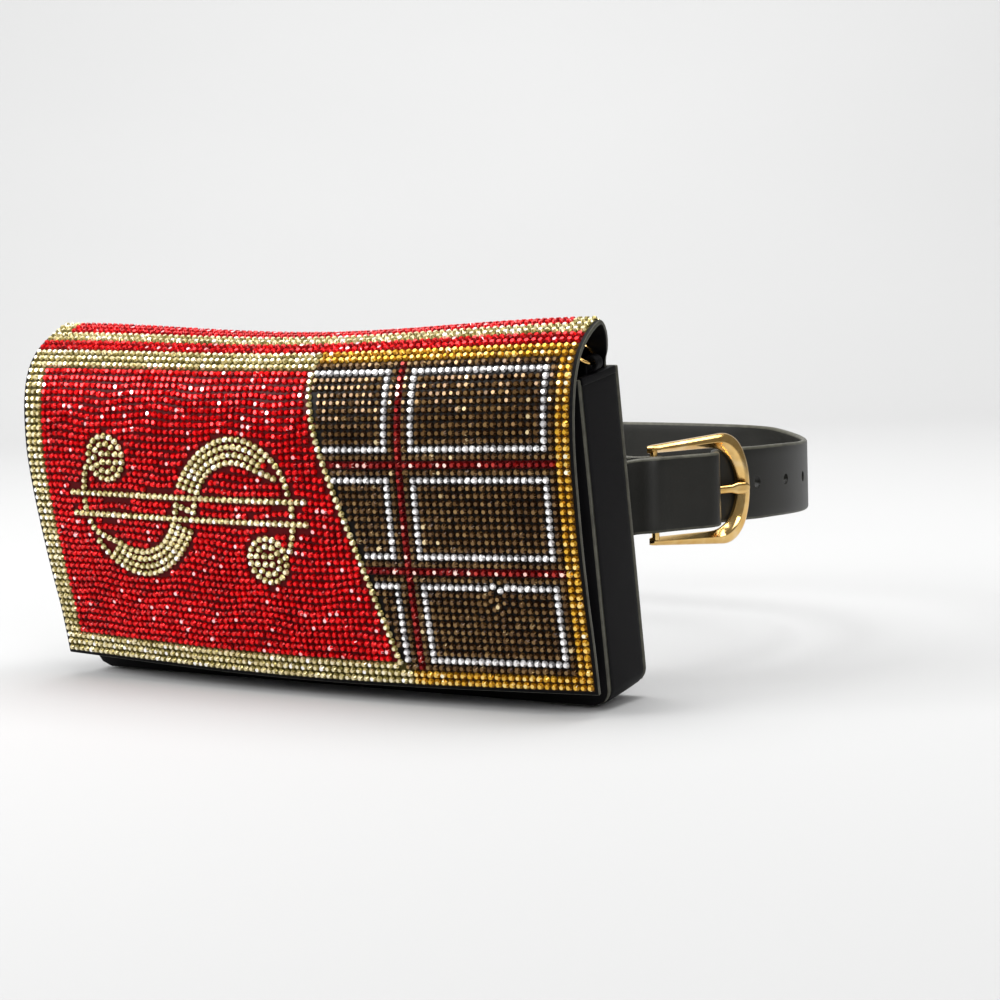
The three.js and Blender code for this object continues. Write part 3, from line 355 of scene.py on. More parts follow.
# The flap's surface as a fine table: 0.5 mm steps across and along, points and outward normals
TABLE_STEP = 0.5
u = np.linspace(0, 1, int(FLAP_WIDTH / TABLE_STEP) + 1)
up, left, middle, right, wide = (FLAP_SECTIONS[:, k, None] for k in range(5))
loose = np.clip((up - SEWN_FROM) / (1 - SEWN_FROM), 0, 1)
sewn = np.where(wide < 1, loose ** 2 * (3 - 2 * loose), 1)
sag = FLAP_SAG * np.sin(math.pi * u) ** 2 * sewn * (0.25 + 0.75 * up ** 3)
reach = left * (1 - u) * (1 - 2 * u) + 4 * middle * u * (1 - u) + right * u * (2 * u - 1)
control = np.stack([(u - 0.5) * FLAP_WIDTH * wide, -FLAP_REACH * reach, FLAP_HEIGHT * up - sag], -1)
traced = smooth_line(control, 40)
advance = np.linalg.norm(np.diff(traced, axis=0), axis=-1)
lengths = np.concatenate([np.zeros((1, len(u))), np.cumsum(advance, axis=0)])
flap_length = lengths[-1]
steps_along = np.arange(0, flap_length.max() + TABLE_STEP, TABLE_STEP)
surface = np.stack([
    np.stack([np.interp(np.minimum(steps_along, flap_length[i]), lengths[:, i], traced[:, i, k])
              for k in range(3)], -1) for i in range(len(u))])
facing = np.cross(np.gradient(surface, axis=0), np.gradient(surface, axis=1))
flat_end = np.linalg.norm(facing, axis=-1) < 1e-6
facing /= np.maximum(np.linalg.norm(facing, axis=-1, keepdims=True), 1e-9)
for i in range(len(u)):
    last = np.argmax(flat_end[i]) if flat_end[i].any() else len(steps_along)
    facing[i, last - 2:] = facing[i, last - 3]


def look_up(grid, wide_mm, along_mm):
    """Value of a flap table at places across and along, in mm."""
    a = np.clip(np.asarray(wide_mm, float) / TABLE_STEP, 0, grid.shape[0] - 1.001)
    b = np.clip(np.asarray(along_mm, float) / TABLE_STEP, 0, grid.shape[1] - 1.001)
    i, j = a.astype(int), b.astype(int)
    s, t = (a - i)[..., None], (b - j)[..., None]
    return ((1 - s) * (1 - t) * grid[i, j] + s * (1 - t) * grid[i + 1, j]
            + (1 - s) * t * grid[i, j + 1] + s * t * grid[i + 1, j + 1])


def on_flap(wide_mm, along_mm, raised=0.0):
    """Point and normal of the flap, in the upright bag's mm."""
    normal = look_up(facing, wide_mm, along_mm)
    normal /= np.linalg.norm(normal, axis=-1, keepdims=True)
    return look_up(surface, wide_mm, along_mm) + normal * raised, normal


wide_lines = np.linspace(0, FLAP_WIDTH, 111)
stone_length = STONE_MARGIN + (FLAP_ROWS + TOP_ROWS) * STONE_PITCH
bare_length = flap_length[::4][:111] - 0.02 - stone_length
lines_along = list(np.linspace(0, stone_length, 120)) + [stone_length + bare_length * k / 40 for k in range(1, 41)]
outer, inner = [], []
for along in lines_along:
    point, normal = on_flap(wide_lines, along)
    outer.append(point)
    inner.append(point - normal * FLAP_BOARD)
flap = board("flap_board", leaned(outer), leaned(inner), [bag_leather, edge_paint], 0.45)
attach(flap, "root")
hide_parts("flap")

# Stone setting: flat-backed stones on a hot-melt film, set in rows 2.5 mm apart by a template. Each stone has a
# ten-sided girdle, twenty crown facets and a flat table; light and shade are painted on it, facet by facet.
# Templates are laid by hand, so rows wave a little and single stones sit a few degrees askew.
STONE_RADIUS = 1.22
STONE_HEIGHT = 1.05
STONE_SIDES = 10
TABLE_SHARE = 0.54
chance = np.random.default_rng(7)


def stone_positions(columns, rows):
    """Across and along in mm of places given in columns and rows, counted from the flap's top left corner."""
    wide_mm = STONE_MARGIN + np.asarray(columns) * STONE_PITCH
    return wide_mm, STONE_MARGIN + (FLAP_ROWS - np.asarray(rows)) * STONE_PITCH


def set_stones(name, places, finish, painted_glint_share, tilt=4.0, seat=0.12):
    """Stones at (column, row) places with painted facet light; the glint share of them get a painted white glint."""
    places = np.asarray(places, float)
    count = len(places)
    wide_mm, along_mm = stone_positions(places[:, 0], places[:, 1])
    centre, normal = on_flap(wide_mm, along_mm, seat)
    step, _ = on_flap(wide_mm + 0.6, along_mm, seat)
    side = step - centre
    side -= normal * np.sum(side * normal, -1, keepdims=True)
    side /= np.linalg.norm(side, axis=-1, keepdims=True)
    up_side = np.cross(normal, side)
    lean_a, lean_b = (np.tan(np.radians(chance.normal(0, tilt, count)))[:, None] for _ in range(2))
    tipped = normal + side * lean_a + up_side * lean_b
    tipped /= np.linalg.norm(tipped, axis=-1, keepdims=True)
    side = side - tipped * np.sum(side * tipped, -1, keepdims=True)
    side /= np.linalg.norm(side, axis=-1, keepdims=True)
    up_side = np.cross(tipped, side)
    size = chance.normal(1, 0.02, count)[:, None]
    turn = chance.uniform(0, 2 * math.pi, count)[:, None]
    girdle = turn + np.arange(STONE_SIDES) * 2 * math.pi / STONE_SIDES
    table = girdle + math.pi / STONE_SIDES
    rings = []
    for angle, share, height in ((girdle, 0.96, -0.1), (girdle, 1.0, 0.1), (table, TABLE_SHARE, STONE_HEIGHT)):
        radius = STONE_RADIUS * share
        ring = (side[:, None] * (np.cos(angle) * radius * size)[..., None]
                + up_side[:, None] * (np.sin(angle) * radius * size)[..., None] + tipped[:, None] * height)
        rings.append(centre[:, None] + ring)
    points = leaned(np.concatenate(rings, 1)).reshape(-1, 3)
    n = STONE_SIDES
    i = np.arange(n)
    j = (i + 1) % n
    wall = [(a, b, b + n, a + n) for a, b in zip(i, j)]
    lower = [(a + n, b + n, a + 2 * n) for a, b in zip(i, j)]
    upper = [(b + n, b + 2 * n, a + 2 * n) for a, b in zip(i, j)]
    pattern = wall + lower + upper + [tuple(i + 2 * n)]
    faces = [tuple(v + 3 * n * s for v in face) for s in range(count) for face in pattern]
    piece = mesh_object(name, points, faces, [finish], smooth=False)
    # Light painted face by face: dark girdle walls are painted shade, crown facets of random brightness are painted
    # reflections, and a bright table is a painted highlight. Glinting stones get a white table and brighter upper
    # facets: a painted glint.
    body = chance.normal(0.5, 0.1, (count, 1))
    light = np.concatenate([
        np.full((count, n), 0.03),
        body * chance.uniform(0.25, 1.15, (count, n)),
        body * chance.uniform(0.45, 1.45, (count, n)),
        0.62 + 0.22 * chance.random((count, 1)),
    ], 1)
    painted_glint = chance.random(count) < painted_glint_share
    light[painted_glint, -1] = 1.0
    light[painted_glint, 2 * n:3 * n] += 0.2
    attribute = piece.data.attributes.new("painted_facet_light", "FLOAT", "FACE")
    attribute.data.foreach_set("value", np.clip(light, 0, 1).reshape(-1).astype(np.float32))
    return piece


def stone_finish(name, stops, foil=0.55):
    """Foil-backed glass: dyed lead-free glass, polished, over a silver or gold foil. Its ramp turns the light painted
    on each facet into colour, from painted shade to a painted white glint; the polished coat adds a real glint on
    top."""
    made, tree, shader = finish_of(name, {
        "Metallic": foil, "Roughness": 0.18, "IOR": 1.54, "Specular IOR Level": 0.15,
        "Coat Weight": 0.2, "Coat Roughness": 0.04, "Coat IOR": 1.54})
    painted_light_input = node(tree, "Attribute", attribute_name="painted_facet_light")
    space = node(tree, "TexCoord")
    batch = node(tree, "TexNoise", {"Vector": space.outputs["Object"], "Scale": 1 / 0.02, "Detail": 3.0})
    shift = node(tree, "MapRange", {"Value": batch.outputs["Fac"], "From Min": 0.3, "From Max": 0.7,
                                    "To Min": -0.06, "To Max": 0.06})
    value = node(tree, "Math", {0: painted_light_input.outputs["Fac"], 1: shift.outputs["Result"]},
                 operation="ADD", use_clamp=True)
    node(tree, "ValToRGB", {"Fac": value.outputs["Value"]}, stops, shader.inputs["Base Color"])
    return made


# In each ramp the lowest stop is painted shade for the girdle walls, the middle stops are the glass's own colour, and
# the top stops are a painted highlight and glint.
red_glass = stone_finish("foiled_glass_red", [
    (0.0, "#2e0002"), (0.35, "#900005"), (0.7, "#d90309"), (0.9, "#f41a20"), (1.0, "#ffc6ca")])
deep_red_glass = stone_finish("foiled_glass_deep_red", [
    (0.0, "#180001"), (0.35, "#4c0203"), (0.7, "#7e0a0a"), (0.9, "#c44038"), (1.0, "#ffd9cf")])
champagne_glass = stone_finish("foiled_glass_champagne", [
    (0.0, "#342c10"), (0.35, "#96884c"), (0.68, "#dfd0a0"), (0.9, "#fbf4da"), (1.0, "#ffffff")])
amber_glass = stone_finish("foiled_glass_amber", [
    (0.0, "#301c00"), (0.35, "#936209"), (0.68, "#e0ac34"), (0.9, "#ffe290"), (1.0, "#fff9dc")])
brown_glass = stone_finish("foiled_glass_brown", [
    (0.0, "#0a0401"), (0.35, "#2c1a0b"), (0.68, "#5c4326"), (0.9, "#8c7048"), (1.0, "#d2bd92")], 0.4)
clear_glass = stone_finish("foiled_glass_clear", [
    (0.0, "#3a3839"), (0.35, "#a3a1a2"), (0.68, "#eae8e8"), (0.9, "#fdfcfb"), (1.0, "#ffffff")])

# Currency figure: champagne stones set along the strokes of a generic currency sign that lies on its side.
# The thick strokes are four lines of stones; the returns and the two bars are single lines; the ends are balls.
# It looks the same turned half round, so the stroke runs from its middle round the lower left bowl and up to the
# left ball: columns across, rows down and half width in stones, all from the figure's middle.
FIGURE_MIDDLE = np.array([27.5, 22.0])
HALF_STROKE = np.array([
    (0, 0, 2), (-0.9, 2.6, 2), (-2.3, 4.7, 1.9), (-4.6, 6.8, 1.9), (-7.9, 8.1, 2.05), (-11, 7.9, 2.05),
    (-13.8, 6.6, 1.85), (-15.9, 5.2, 1.25), (-17.3, 3.4, 0.55), (-17.9, 0.5, 0.5), (-17.6, -2.6, 0.5),
    (-16.9, -4.9, 0.5), (-16.2, -6.0, 0.5),
])
FIGURE_BAR_REACH = 19.9
FIGURE_BAR_ROW = 1.5
FIGURE_BALL = np.array([-13.05, -6.6])
BALL_RINGS = ((3.0, 18), (1.95, 11), (0.8, 4))
figure_stones = []


def lay_along(line, taken, spacing=1.0, room=0.86):
    """Lays stones along a line of (column, row) points, leaving out any that would sit on one already laid."""
    gaps = np.linalg.norm(np.diff(line, axis=0), axis=1)
    places = np.concatenate([[0], np.cumsum(gaps)])
    for s in np.linspace(0, places[-1], max(1, round(places[-1] / spacing)) + 1):
        point = np.array([np.interp(s, places, line[:, 0]), np.interp(s, places, line[:, 1])])
        if not taken or np.min(np.linalg.norm(np.array(taken) - point, axis=1)) > room:
            taken.append(point)


turned_stroke = HALF_STROKE[:0:-1] * (-1, -1, 1)
stroke = smooth_line(np.concatenate([turned_stroke, HALF_STROKE]), 12)
heading = np.gradient(stroke[:, :2], axis=0)
heading /= np.linalg.norm(heading, axis=1, keepdims=True)
aside = np.stack([-heading[:, 1], heading[:, 0]], 1)
for turn in (1, -1):
    bar = np.array([(-FIGURE_BAR_REACH, FIGURE_BAR_ROW), (FIGURE_BAR_REACH, FIGURE_BAR_ROW)])
    lay_along(FIGURE_MIDDLE + turn * bar, figure_stones)
    for radius, number in BALL_RINGS:
        for k in range(number):
            angle = 2 * math.pi * (k + 0.5) / number
            offset = FIGURE_BALL + radius * np.array([math.cos(angle), math.sin(angle)])
            figure_stones.append(FIGURE_MIDDLE + turn * offset)
for share in (1.0, -1.0, 0.34, -0.34):
    lay_along(FIGURE_MIDDLE + stroke[:, :2] + aside * (share * (stroke[:, 2:] - 0.5)), figure_stones)
figure = set_stones("currency_figure_stones", figure_stones, champagne_glass, 0.16, seat=0.35)
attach(figure, "root")
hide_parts("currency_figure")

# Wrapper edge: a single line of champagne stones down the torn edge of the red wrapper, from the top border to
# the lower one, where the chocolate begins.
GROOVE_COLUMN = 62
WRAPPER_EDGE = np.array([(GROOVE_COLUMN - 13.5, 3), (GROOVE_COLUMN - 13.5, 12),
                         (GROOVE_COLUMN - 8.5, 20), (GROOVE_COLUMN - 2.5, 43)])
t = np.linspace(0, 1, 200)[:, None]
wrapper_line = ((1 - t) ** 3 * WRAPPER_EDGE[0] + 3 * t * (1 - t) ** 2 * WRAPPER_EDGE[1]
                + 3 * t ** 2 * (1 - t) * WRAPPER_EDGE[2] + t ** 3 * WRAPPER_EDGE[3])
wrapper_stones = []
lay_along(wrapper_line[5:-3], wrapper_stones)
wrapper = set_stones("wrapper_edge_stones", wrapper_stones, champagne_glass, 0.16, seat=0.2)
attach(wrapper, "root")
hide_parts("wrapper_edge")


def wrapper_column(row):
    return np.interp(row, wrapper_line[:, 1], wrapper_line[:, 0])


def clear_of(places, laid, room):
    """Places that are at least that many stones away from each stone already laid."""
    places, laid = np.asarray(places, float), np.asarray(laid, float)
    return [p for p in places if np.min(np.linalg.norm(laid - p, axis=1)) > room]


# Red field: the wrapper's red stones, row by row from the border to the wrapper edge, round the currency figure.
# The rows wave by up to half a millimetre where the film crept as it cooled.
BORDER = 3
field = []
for row in range(BORDER + 1, FLAP_ROWS - BORDER + 1):
    for column in range(BORDER + 1, 62):
        c, r = column - 0.5, row - 0.5
        if c < wrapper_column(r) - 0.7:
            inside = min(1.0, (c - BORDER) / 4, (r - BORDER) / 4, (FLAP_ROWS - BORDER - r) / 4)
            wave = (0.2 * math.sin(c * 0.42 + r * 0.21) + 0.13 * math.sin(c * 0.23 - r * 0.3 + 1.3)
                    + 0.08 * math.sin(c * 0.9 + r))
            field.append((c + 0.04 * math.sin(c * 1.9 + r * 2.3), r + wave * inside))
field = clear_of(clear_of(field, figure_stones, 0.82), wrapper_stones, 0.8)
red_field = set_stones("red_field_stones", field, red_glass, 0.07, tilt=5.0)
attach(red_field, "root")
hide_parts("red_field")


def stone_grid(first_column, last_column, first_row, last_row):
    """Centres of the stones from one column and row number to another."""
    return [(c - 0.5, r - 0.5) for r in range(first_row, last_row + 1) for c in range(first_column, last_column + 1)]


# Champagne border: three rows of stones along the top, the left end and the foot of the flap.
pale = (stone_grid(1, 49, 1, BORDER) + stone_grid(1, BORDER, BORDER + 1, FLAP_ROWS - BORDER)
        + stone_grid(1, 60, FLAP_ROWS - BORDER + 1, FLAP_ROWS - 2) + stone_grid(1, 61, FLAP_ROWS - 1, FLAP_ROWS))
pale_border = set_stones("champagne_border_stones", clear_of(pale, wrapper_stones, 0.75), champagne_glass, 0.14)
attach(pale_border, "root")
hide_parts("pale_border")

# Amber border: two rows of amber stones along the top and foot of the chocolate and down the right end.
AMBER = 2
amber = (stone_grid(50, FLAP_COLUMNS, 1, AMBER)
         + stone_grid(FLAP_COLUMNS - AMBER + 1, FLAP_COLUMNS, AMBER + 1, FLAP_ROWS - AMBER)
         + stone_grid(62, FLAP_COLUMNS, FLAP_ROWS - AMBER + 1, FLAP_ROWS))
amber_border = set_stones("amber_border_stones", amber, amber_glass, 0.06)
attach(amber_border, "root")
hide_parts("amber_border")

# Chocolate squares: dark brown stones in six blocks, each with a single line of clear stones one stone inside its
# edge for the moulded bevel. The left blocks are cut off by the wrapper edge.
TABLET_RIGHT = FLAP_COLUMNS - AMBER
for name, top in (("upper", 3), ("middle", 17), ("lower", 31)):
    foot = top + 12
    for side, first, last in (("right", GROOVE_COLUMN + 2, TABLET_RIGHT), ("left", 48, GROOVE_COLUMN)):
        frame_first, frame_last = (first + 1, last - 1) if side == "right" else (48, last - 1)
        brown, clear = [], []
        for c, r in stone_grid(first, last, top, foot):
            if side == "left" and c < wrapper_column(r) + 0.6:
                continue
            column, row = c + 0.5, r + 0.5
            on_side = (top + 1 <= row <= foot - 1
                       and (column == frame_last or (side == "right" and column == frame_first)))
            on_line = row in (top + 1, foot - 1) and frame_first <= column <= frame_last
            if name == "lower" and side == "right":
                dent = math.exp(-((c - 75.5) ** 2 + (r - 33.0) ** 2) / 5.0)
                c, r = c + dent * 0.5 * math.sin(5 * r), r + dent * 0.5 * math.cos(4 * c)
            (clear if on_side or on_line else brown).append((c, r))
        brown, clear = clear_of(brown, wrapper_stones, 0.8), clear_of(clear, wrapper_stones, 0.8)
        block = set_stones(f"{name}_{side}_chocolate_stones", brown, brown_glass, 0.012)
        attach(block, "root")
        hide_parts(f"{name}_{side}_square")
        bevel_line = set_stones(f"{name}_{side}_bevel_stones", clear, clear_glass, 0.3, seat=0.25)
        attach(bevel_line, "root")
        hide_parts(f"{name}_{side}_frame")

# Grooves between the squares: single lines of red stones, one down and two across.
grooves = stone_grid(GROOVE_COLUMN + 1, GROOVE_COLUMN + 1, 3, FLAP_ROWS - AMBER)
for row in (16, 30):
    grooves += [(c, r) for c, r in stone_grid(48, TABLET_RIGHT, row, row)
                if c > wrapper_column(r) + 0.6 and c != GROOVE_COLUMN + 0.5]
groove_stones = set_stones("groove_stones", clear_of(grooves, wrapper_stones, 0.8), deep_red_glass, 0.12)
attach(groove_stones, "root")
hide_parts("tablet_grooves")

# Bands over the curl: two red rows and two champagne rows along the ridge, then a red field with champagne ends
# that runs down the back of the curl.
for name, finish, slot, painted_glint_share, columns, rows, solid in [
    ("curl_red_band_stones", red_glass, "red_stones", 0.1, (1, FLAP_COLUMNS), (-1, 0), "top_red_band"),
    ("curl_champagne_band_stones", champagne_glass, "pale_gold_stones", 0.2,
     (1, FLAP_COLUMNS), (-3, -2), "top_pale_band"),
    ("curl_rear_stones", red_glass, "red_stones", 0.06, (4, FLAP_COLUMNS - 3), (-7, -4), "top_rear_field"),
    ("curl_left_end_stones", champagne_glass, "pale_gold_stones", 0.2, (1, 3), (-7, -4), "top_left_end"),
    ("curl_right_end_stones", champagne_glass, "pale_gold_stones", 0.2,
     (FLAP_COLUMNS - 2, FLAP_COLUMNS), (-7, -4), "top_right_end"),
]:
    band = set_stones(name, stone_grid(*columns, *rows), finish, painted_glint_share)
    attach(band, "root")
    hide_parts(solid)

# Hot-melt film under the stones: a thin film, ironed on. The film is real; its dark colour, a deep copy of the
# stones' colour over each part, is painted shade between the stones, and shows as a dark line between them.
film_finish, tree, shader = finish_of("hot_melt_film", {"Roughness": 0.4, "IOR": 1.5, "Specular IOR Level": 0.08})
gap_shade_input = node(tree, "Attribute", attribute_name="painted_gap_shade")
space = node(tree, "TexCoord")
smear = node(tree, "TexNoise", {"Vector": space.outputs["Object"], "Scale": 1 / 0.0012, "Detail": 3.0})
blotch = node(tree, "MapRange", {"Value": smear.outputs["Fac"], "To Min": 0.6, "To Max": 1.3})
mixed = node(tree, "VectorMath", {0: gap_shade_input.outputs["Color"], "Scale": blotch.outputs["Result"]}, operation="SCALE")
tree.links.new(mixed.outputs["Vector"], shader.inputs["Base Color"])
node(tree, "Bump", {"Height": smear.outputs["Fac"], "Strength": 0.5, "Distance": 0.0002},
     into=shader.inputs["Normal"])
# Painted shade between the stones: a deep, dark copy of each part's stone colour.
PAINTED_GAP_SHADES = {"red": paint("#480003"), "pale": paint("#3a330f"),
              "amber": paint("#352103"), "brown": paint("#090503")}


def painted_gap_shade(column, row):
    """Painted shade colour of the film under the stone in that column and row."""
    if row < 1:
        pale_here = row in (-2, -3) or (row < -3 and (column <= 3 or column > FLAP_COLUMNS - 3))
        return PAINTED_GAP_SHADES["pale" if pale_here else "red"]
    if column <= BORDER or (row <= BORDER and column <= 49) or (row > FLAP_ROWS - BORDER and column <= 61):
        return PAINTED_GAP_SHADES["pale"]
    if column > TABLET_RIGHT or row <= AMBER or row > FLAP_ROWS - AMBER:
        return PAINTED_GAP_SHADES["amber"]
    if column - 0.5 < wrapper_column(row - 0.5) or column == GROOVE_COLUMN + 1 or row in (16, 30):
        return PAINTED_GAP_SHADES["red"]
    return PAINTED_GAP_SHADES["brown"]


film_columns = np.arange(0, FLAP_COLUMNS + 1)
film_rows = np.arange(FLAP_ROWS, -TOP_ROWS - 1, -1)
grid_columns, grid_rows = np.meshgrid(film_columns, film_rows)
film_points, _ = on_flap(*stone_positions(grid_columns, grid_rows), 0.06)
index = np.arange(film_points[..., 0].size).reshape(grid_columns.shape)
film_faces = np.stack([index[:-1, :-1], index[:-1, 1:], index[1:, 1:], index[1:, :-1]], -1).reshape(-1, 4)
film = mesh_object("hot_melt_film", leaned(film_points).reshape(-1, 3), film_faces, [film_finish])
gap_shades = [painted_gap_shade(c + 1, r) for r in film_rows[:-1] for c in film_columns[:-1]]
attribute = film.data.attributes.new("painted_gap_shade", "FLOAT_COLOR", "CORNER")
attribute.data.foreach_set("color", np.repeat(np.array(gap_shades, np.float32), 4, axis=0).reshape(-1))
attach(film, "root")

# Magnetic snap: two stamped nickel-plated cups, one riveted through the front panel, one through the flap.
# Each has a rolled rim and a round magnet behind a pressed step. They meet face to face under the flap.
SNAP_RADIUS = 9.0
SNAP_UP = 28.0

nickel, tree, shader = finish_of("stamped_nickel_plate", {"Metallic": 1.0, "Roughness": 0.25})
space = node(tree, "TexCoord")
handling = node(tree, "TexNoise", {"Vector": space.outputs["Object"], "Scale": 1 / 0.004, "Detail": 5.0})
node(tree, "ValToRGB", {"Fac": handling.outputs["Fac"]}, [(0.3, "#b9b4a8"), (0.7, "#d6d2c8")],
     shader.inputs["Base Color"])
node(tree, "MapRange", {"Value": handling.outputs["Fac"], "To Min": 0.16, "To Max": 0.36},
     into=shader.inputs["Roughness"])


def tube_faces(below, above):
    """Faces between rings of points: below and above are grids of point numbers, one row for each ring."""
    return np.stack([below, np.roll(below, -1, 1), np.roll(above, -1, 1), above], -1).reshape(-1, 4)


def capped(index):
    """Faces of a tube with both ends closed."""
    return [tuple(f) for f in tube_faces(index[:-1], index[1:])] + [tuple(index[0]), tuple(index[-1])]


def turned(name, profile, centre, axis, finish, place, sides=48, closed=False):
    """Turned piece: a profile of (radius, height) points in mm spun about an axis through a centre.
    A closed profile makes a ring; an open one starts and ends on the axis."""
    axis = Vector(axis).normalized()
    first = axis.orthogonal().normalized()
    second = axis.cross(first)
    angles = np.arange(sides) * 2 * math.pi / sides
    spokes = np.outer(np.cos(angles), first) + np.outer(np.sin(angles), second)
    profile = np.asarray(profile, float)
    points = np.asarray(centre, float) + profile[:, None, 1:] * np.array(axis) + profile[:, None, :1] * spokes[None]
    index = np.arange(len(profile) * sides).reshape(len(profile), sides)
    faces = tube_faces(index, np.roll(index, -1, 0)) if closed else tube_faces(index[:-1], index[1:])
    piece = mesh_object(name, place(points.reshape(-1, 3)), faces, [finish])
    return welded(piece)


def welded(piece, sharp=35):
    """Merges points that coincide, turns all faces outwards and keeps edges past that angle crisp."""
    form = bmesh.new()
    form.from_mesh(piece.data)
    bmesh.ops.remove_doubles(form, verts=form.verts, dist=2e-6)
    bmesh.ops.recalc_face_normals(form, faces=form.faces)
    form.to_mesh(piece.data)
    form.free()
    piece.data.set_sharp_from_angle(angle=math.radians(sharp))
    return piece


snap_edges = [SNAP_UP - SNAP_RADIUS, SNAP_UP, SNAP_UP + SNAP_RADIUS]
snap_near = max(front_depth(0, z) for z in snap_edges) + SEAM_GAP
inside_line = surface[len(u) // 2]
snap_far = min(-np.interp(z, inside_line[:200, 2], inside_line[:200, 1]) for z in snap_edges) - FLAP_BOARD - SEAM_GAP
snap_half = (snap_far - snap_near) / 2
cup = [(0, 0), (8.4, 0), (8.8, 0.1), (9.0, 0.4), (8.95, 0.9), (8.6, 1.25), (8.0, 1.3), (7.5, 1.1), (7.2, 1.05),
       (6.9, 1.3), (6.4, snap_half - 0.1), (6.0, snap_half), (2.6, snap_half),
       (2.3, snap_half - 0.25), (0, snap_half - 0.25)]
for name, depth, heading in (("snap_panel_half", snap_near, -1), ("snap_flap_half", snap_far, 1)):
    half_snap = turned(name, cup, (0, -depth, SNAP_UP), (0, heading, 0), nickel, leaned)
    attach(half_snap, "root")
    if heading < 0:
        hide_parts("closure_snap")

# Side ring: a closed ring of gold-plated wire on a folded leather tab, which is glued inside the pouch's right end
# and stands up into the curl. The plating is thin gold over polished brass.
RING_RADIUS, RING_WIRE, RING_DEPTH, RING_TILT = 5.0, 0.7, 14.0, math.radians(49)
RING_FOOT = np.array([BODY_HALF - WALL / 2, -RING_DEPTH, MOUTH + 3.4])

gold_plate, tree, shader = finish_of("polished_gold_plate", {"Metallic": 1.0, "Roughness": 0.16})
space = node(tree, "TexCoord")
tarnish = node(tree, "TexNoise", {"Vector": space.outputs["Object"], "Scale": 1 / 0.006, "Detail": 5.0})
node(tree, "ValToRGB", {"Fac": tarnish.outputs["Fac"]}, [(0.25, "#d8a757"), (0.6, "#eec883"), (0.8, "#f8dcaa")],
     shader.inputs["Base Color"])
polish = node(tree, "TexNoise", {"Vector": space.outputs["Object"], "Scale": 1 / 0.0009, "Detail": 6.0})
node(tree, "MapRange", {"Value": polish.outputs["Fac"], "To Min": 0.08, "To Max": 0.24},
     into=shader.inputs["Roughness"])
node(tree, "Bump", {"Height": tarnish.outputs["Fac"], "Strength": 0.25, "Distance": 0.00025},
     into=shader.inputs["Normal"])

wire = [(RING_RADIUS + RING_WIRE * math.cos(a), RING_WIRE * math.sin(a))
        for a in np.linspace(0, 2 * math.pi, 14, endpoint=False)]
ring_centre = RING_FOOT + RING_RADIUS * np.array([-math.sin(RING_TILT), 0, math.cos(RING_TILT)])
ring = turned("side_ring_wire", wire, ring_centre, (math.cos(RING_TILT), 0, math.sin(RING_TILT)),
              gold_plate, leaned, 64, closed=True)
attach(ring, "root")
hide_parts("side_ring")


def strip_along(name, line, side, wide, thick, materials, place):
    """Closed strip of leather along a line of points in mm. side is the direction across it, and it may change in
    width and thickness along the line. Its edges are rounded and take the second material."""
    line = np.asarray(line, float)
    wide = np.broadcast_to(np.asarray(wide, float) / 2, len(line))
    thick = np.broadcast_to(np.asarray(thick, float) / 2, len(line))
    heading = np.gradient(line, axis=0)
    heading /= np.linalg.norm(heading, axis=1, keepdims=True)
    normal = np.cross(heading, side)
    normal /= np.linalg.norm(normal, axis=1, keepdims=True)
    corner = np.minimum(0.9 * thick, wide)
    flat = [(b, 0, 1) for b in np.linspace(-1, 1, 9)]
    turn = [(1, math.cos(a), math.sin(a)) for a in np.linspace(math.pi / 2, -math.pi / 2, 9)[1:-1]]
    section = np.array(flat + turn + [(-b, -c, -d) for b, c, d in flat + turn])
    level = np.where(np.abs(section[:, 2]) < 1e-6, 0, np.sign(section[:, 2]))
    across_mm = np.outer(wide - corner, section[:, 0]) + np.outer(corner, section[:, 1])
    up_mm = np.outer(thick - corner, level) + np.outer(corner, section[:, 2])
    points = line[:, None] + across_mm[..., None] * np.asarray(side, float) + up_mm[..., None] * normal[:, None]
    n = len(section)
    index = np.arange(len(line) * n).reshape(len(line), n)
    piece = mesh_object(name, place(points.reshape(-1, 3)), capped(index), materials)
    edge = [8 <= k % (n // 2) < n // 2 for k in range(n)]
    if len(materials) > 1:
        finishes = [int(e) for _ in range(len(line) - 1) for e in edge] + [1, 1]
        piece.data.polygons.foreach_set("material_index", finishes)
    return welded(piece, 50)


tab_turn = [(2.0 * math.cos(a), 2.0 * math.sin(a)) for a in np.linspace(math.pi, -0.42 * math.pi, 22)]
tab_line = [(-2.0, -z) for z in np.linspace(14, 0.6, 14)] + tab_turn + [(-0.2, -2.35), (-0.75, -2.85)]
tab = strip_along("ring_tab_leather", [RING_FOOT + (x, 0, z) for x, z in tab_line], (0, 1, 0), 4.0, 1.1,
                  [bag_leather], leaned)
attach(tab, "root")
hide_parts("ring_tab")

# Belt loops: two strips of the bag's leather, sewn flat to the back panel above and below the strap, which
# runs inside them. Each end is held by a box of stitches.
LOOP_WIDTH, LOOP_THICK, LOOP_OFFSET, LOOP_LAND = 14.0, 1.5, 30.0, 9.0
LOOP_FACE = 10.57
LOOP_TOP, LOOP_FOOT, LOOP_FOOT_FACE = 66.62, 33.52, 6.04

# Bonded polyester thread: three plies twisted and bonded with resin. It gives a dull black with a slight sheen.
thread, tree, shader = finish_of("bonded_polyester_thread", {"Roughness": 0.6, "Sheen Weight": 0.3})
space = node(tree, "TexCoord")
twist = node(tree, "TexWave", {"Vector": space.outputs["Object"], "Scale": 1 / 0.0012, "Distortion": 1.0},
             bands_direction="DIAGONAL")
# The ramp follows the twist that also raises the plies: grooves darker and ridges lighter, painted shade in the
# grooves.
node(tree, "ValToRGB", {"Fac": twist.outputs["Fac"]}, [(0.2, "#121113"), (0.8, "#2c2b2e")],
     shader.inputs["Base Color"])
node(tree, "Bump", {"Height": twist.outputs["Fac"], "Strength": 0.6, "Distance": 0.0001},
     into=shader.inputs["Normal"])


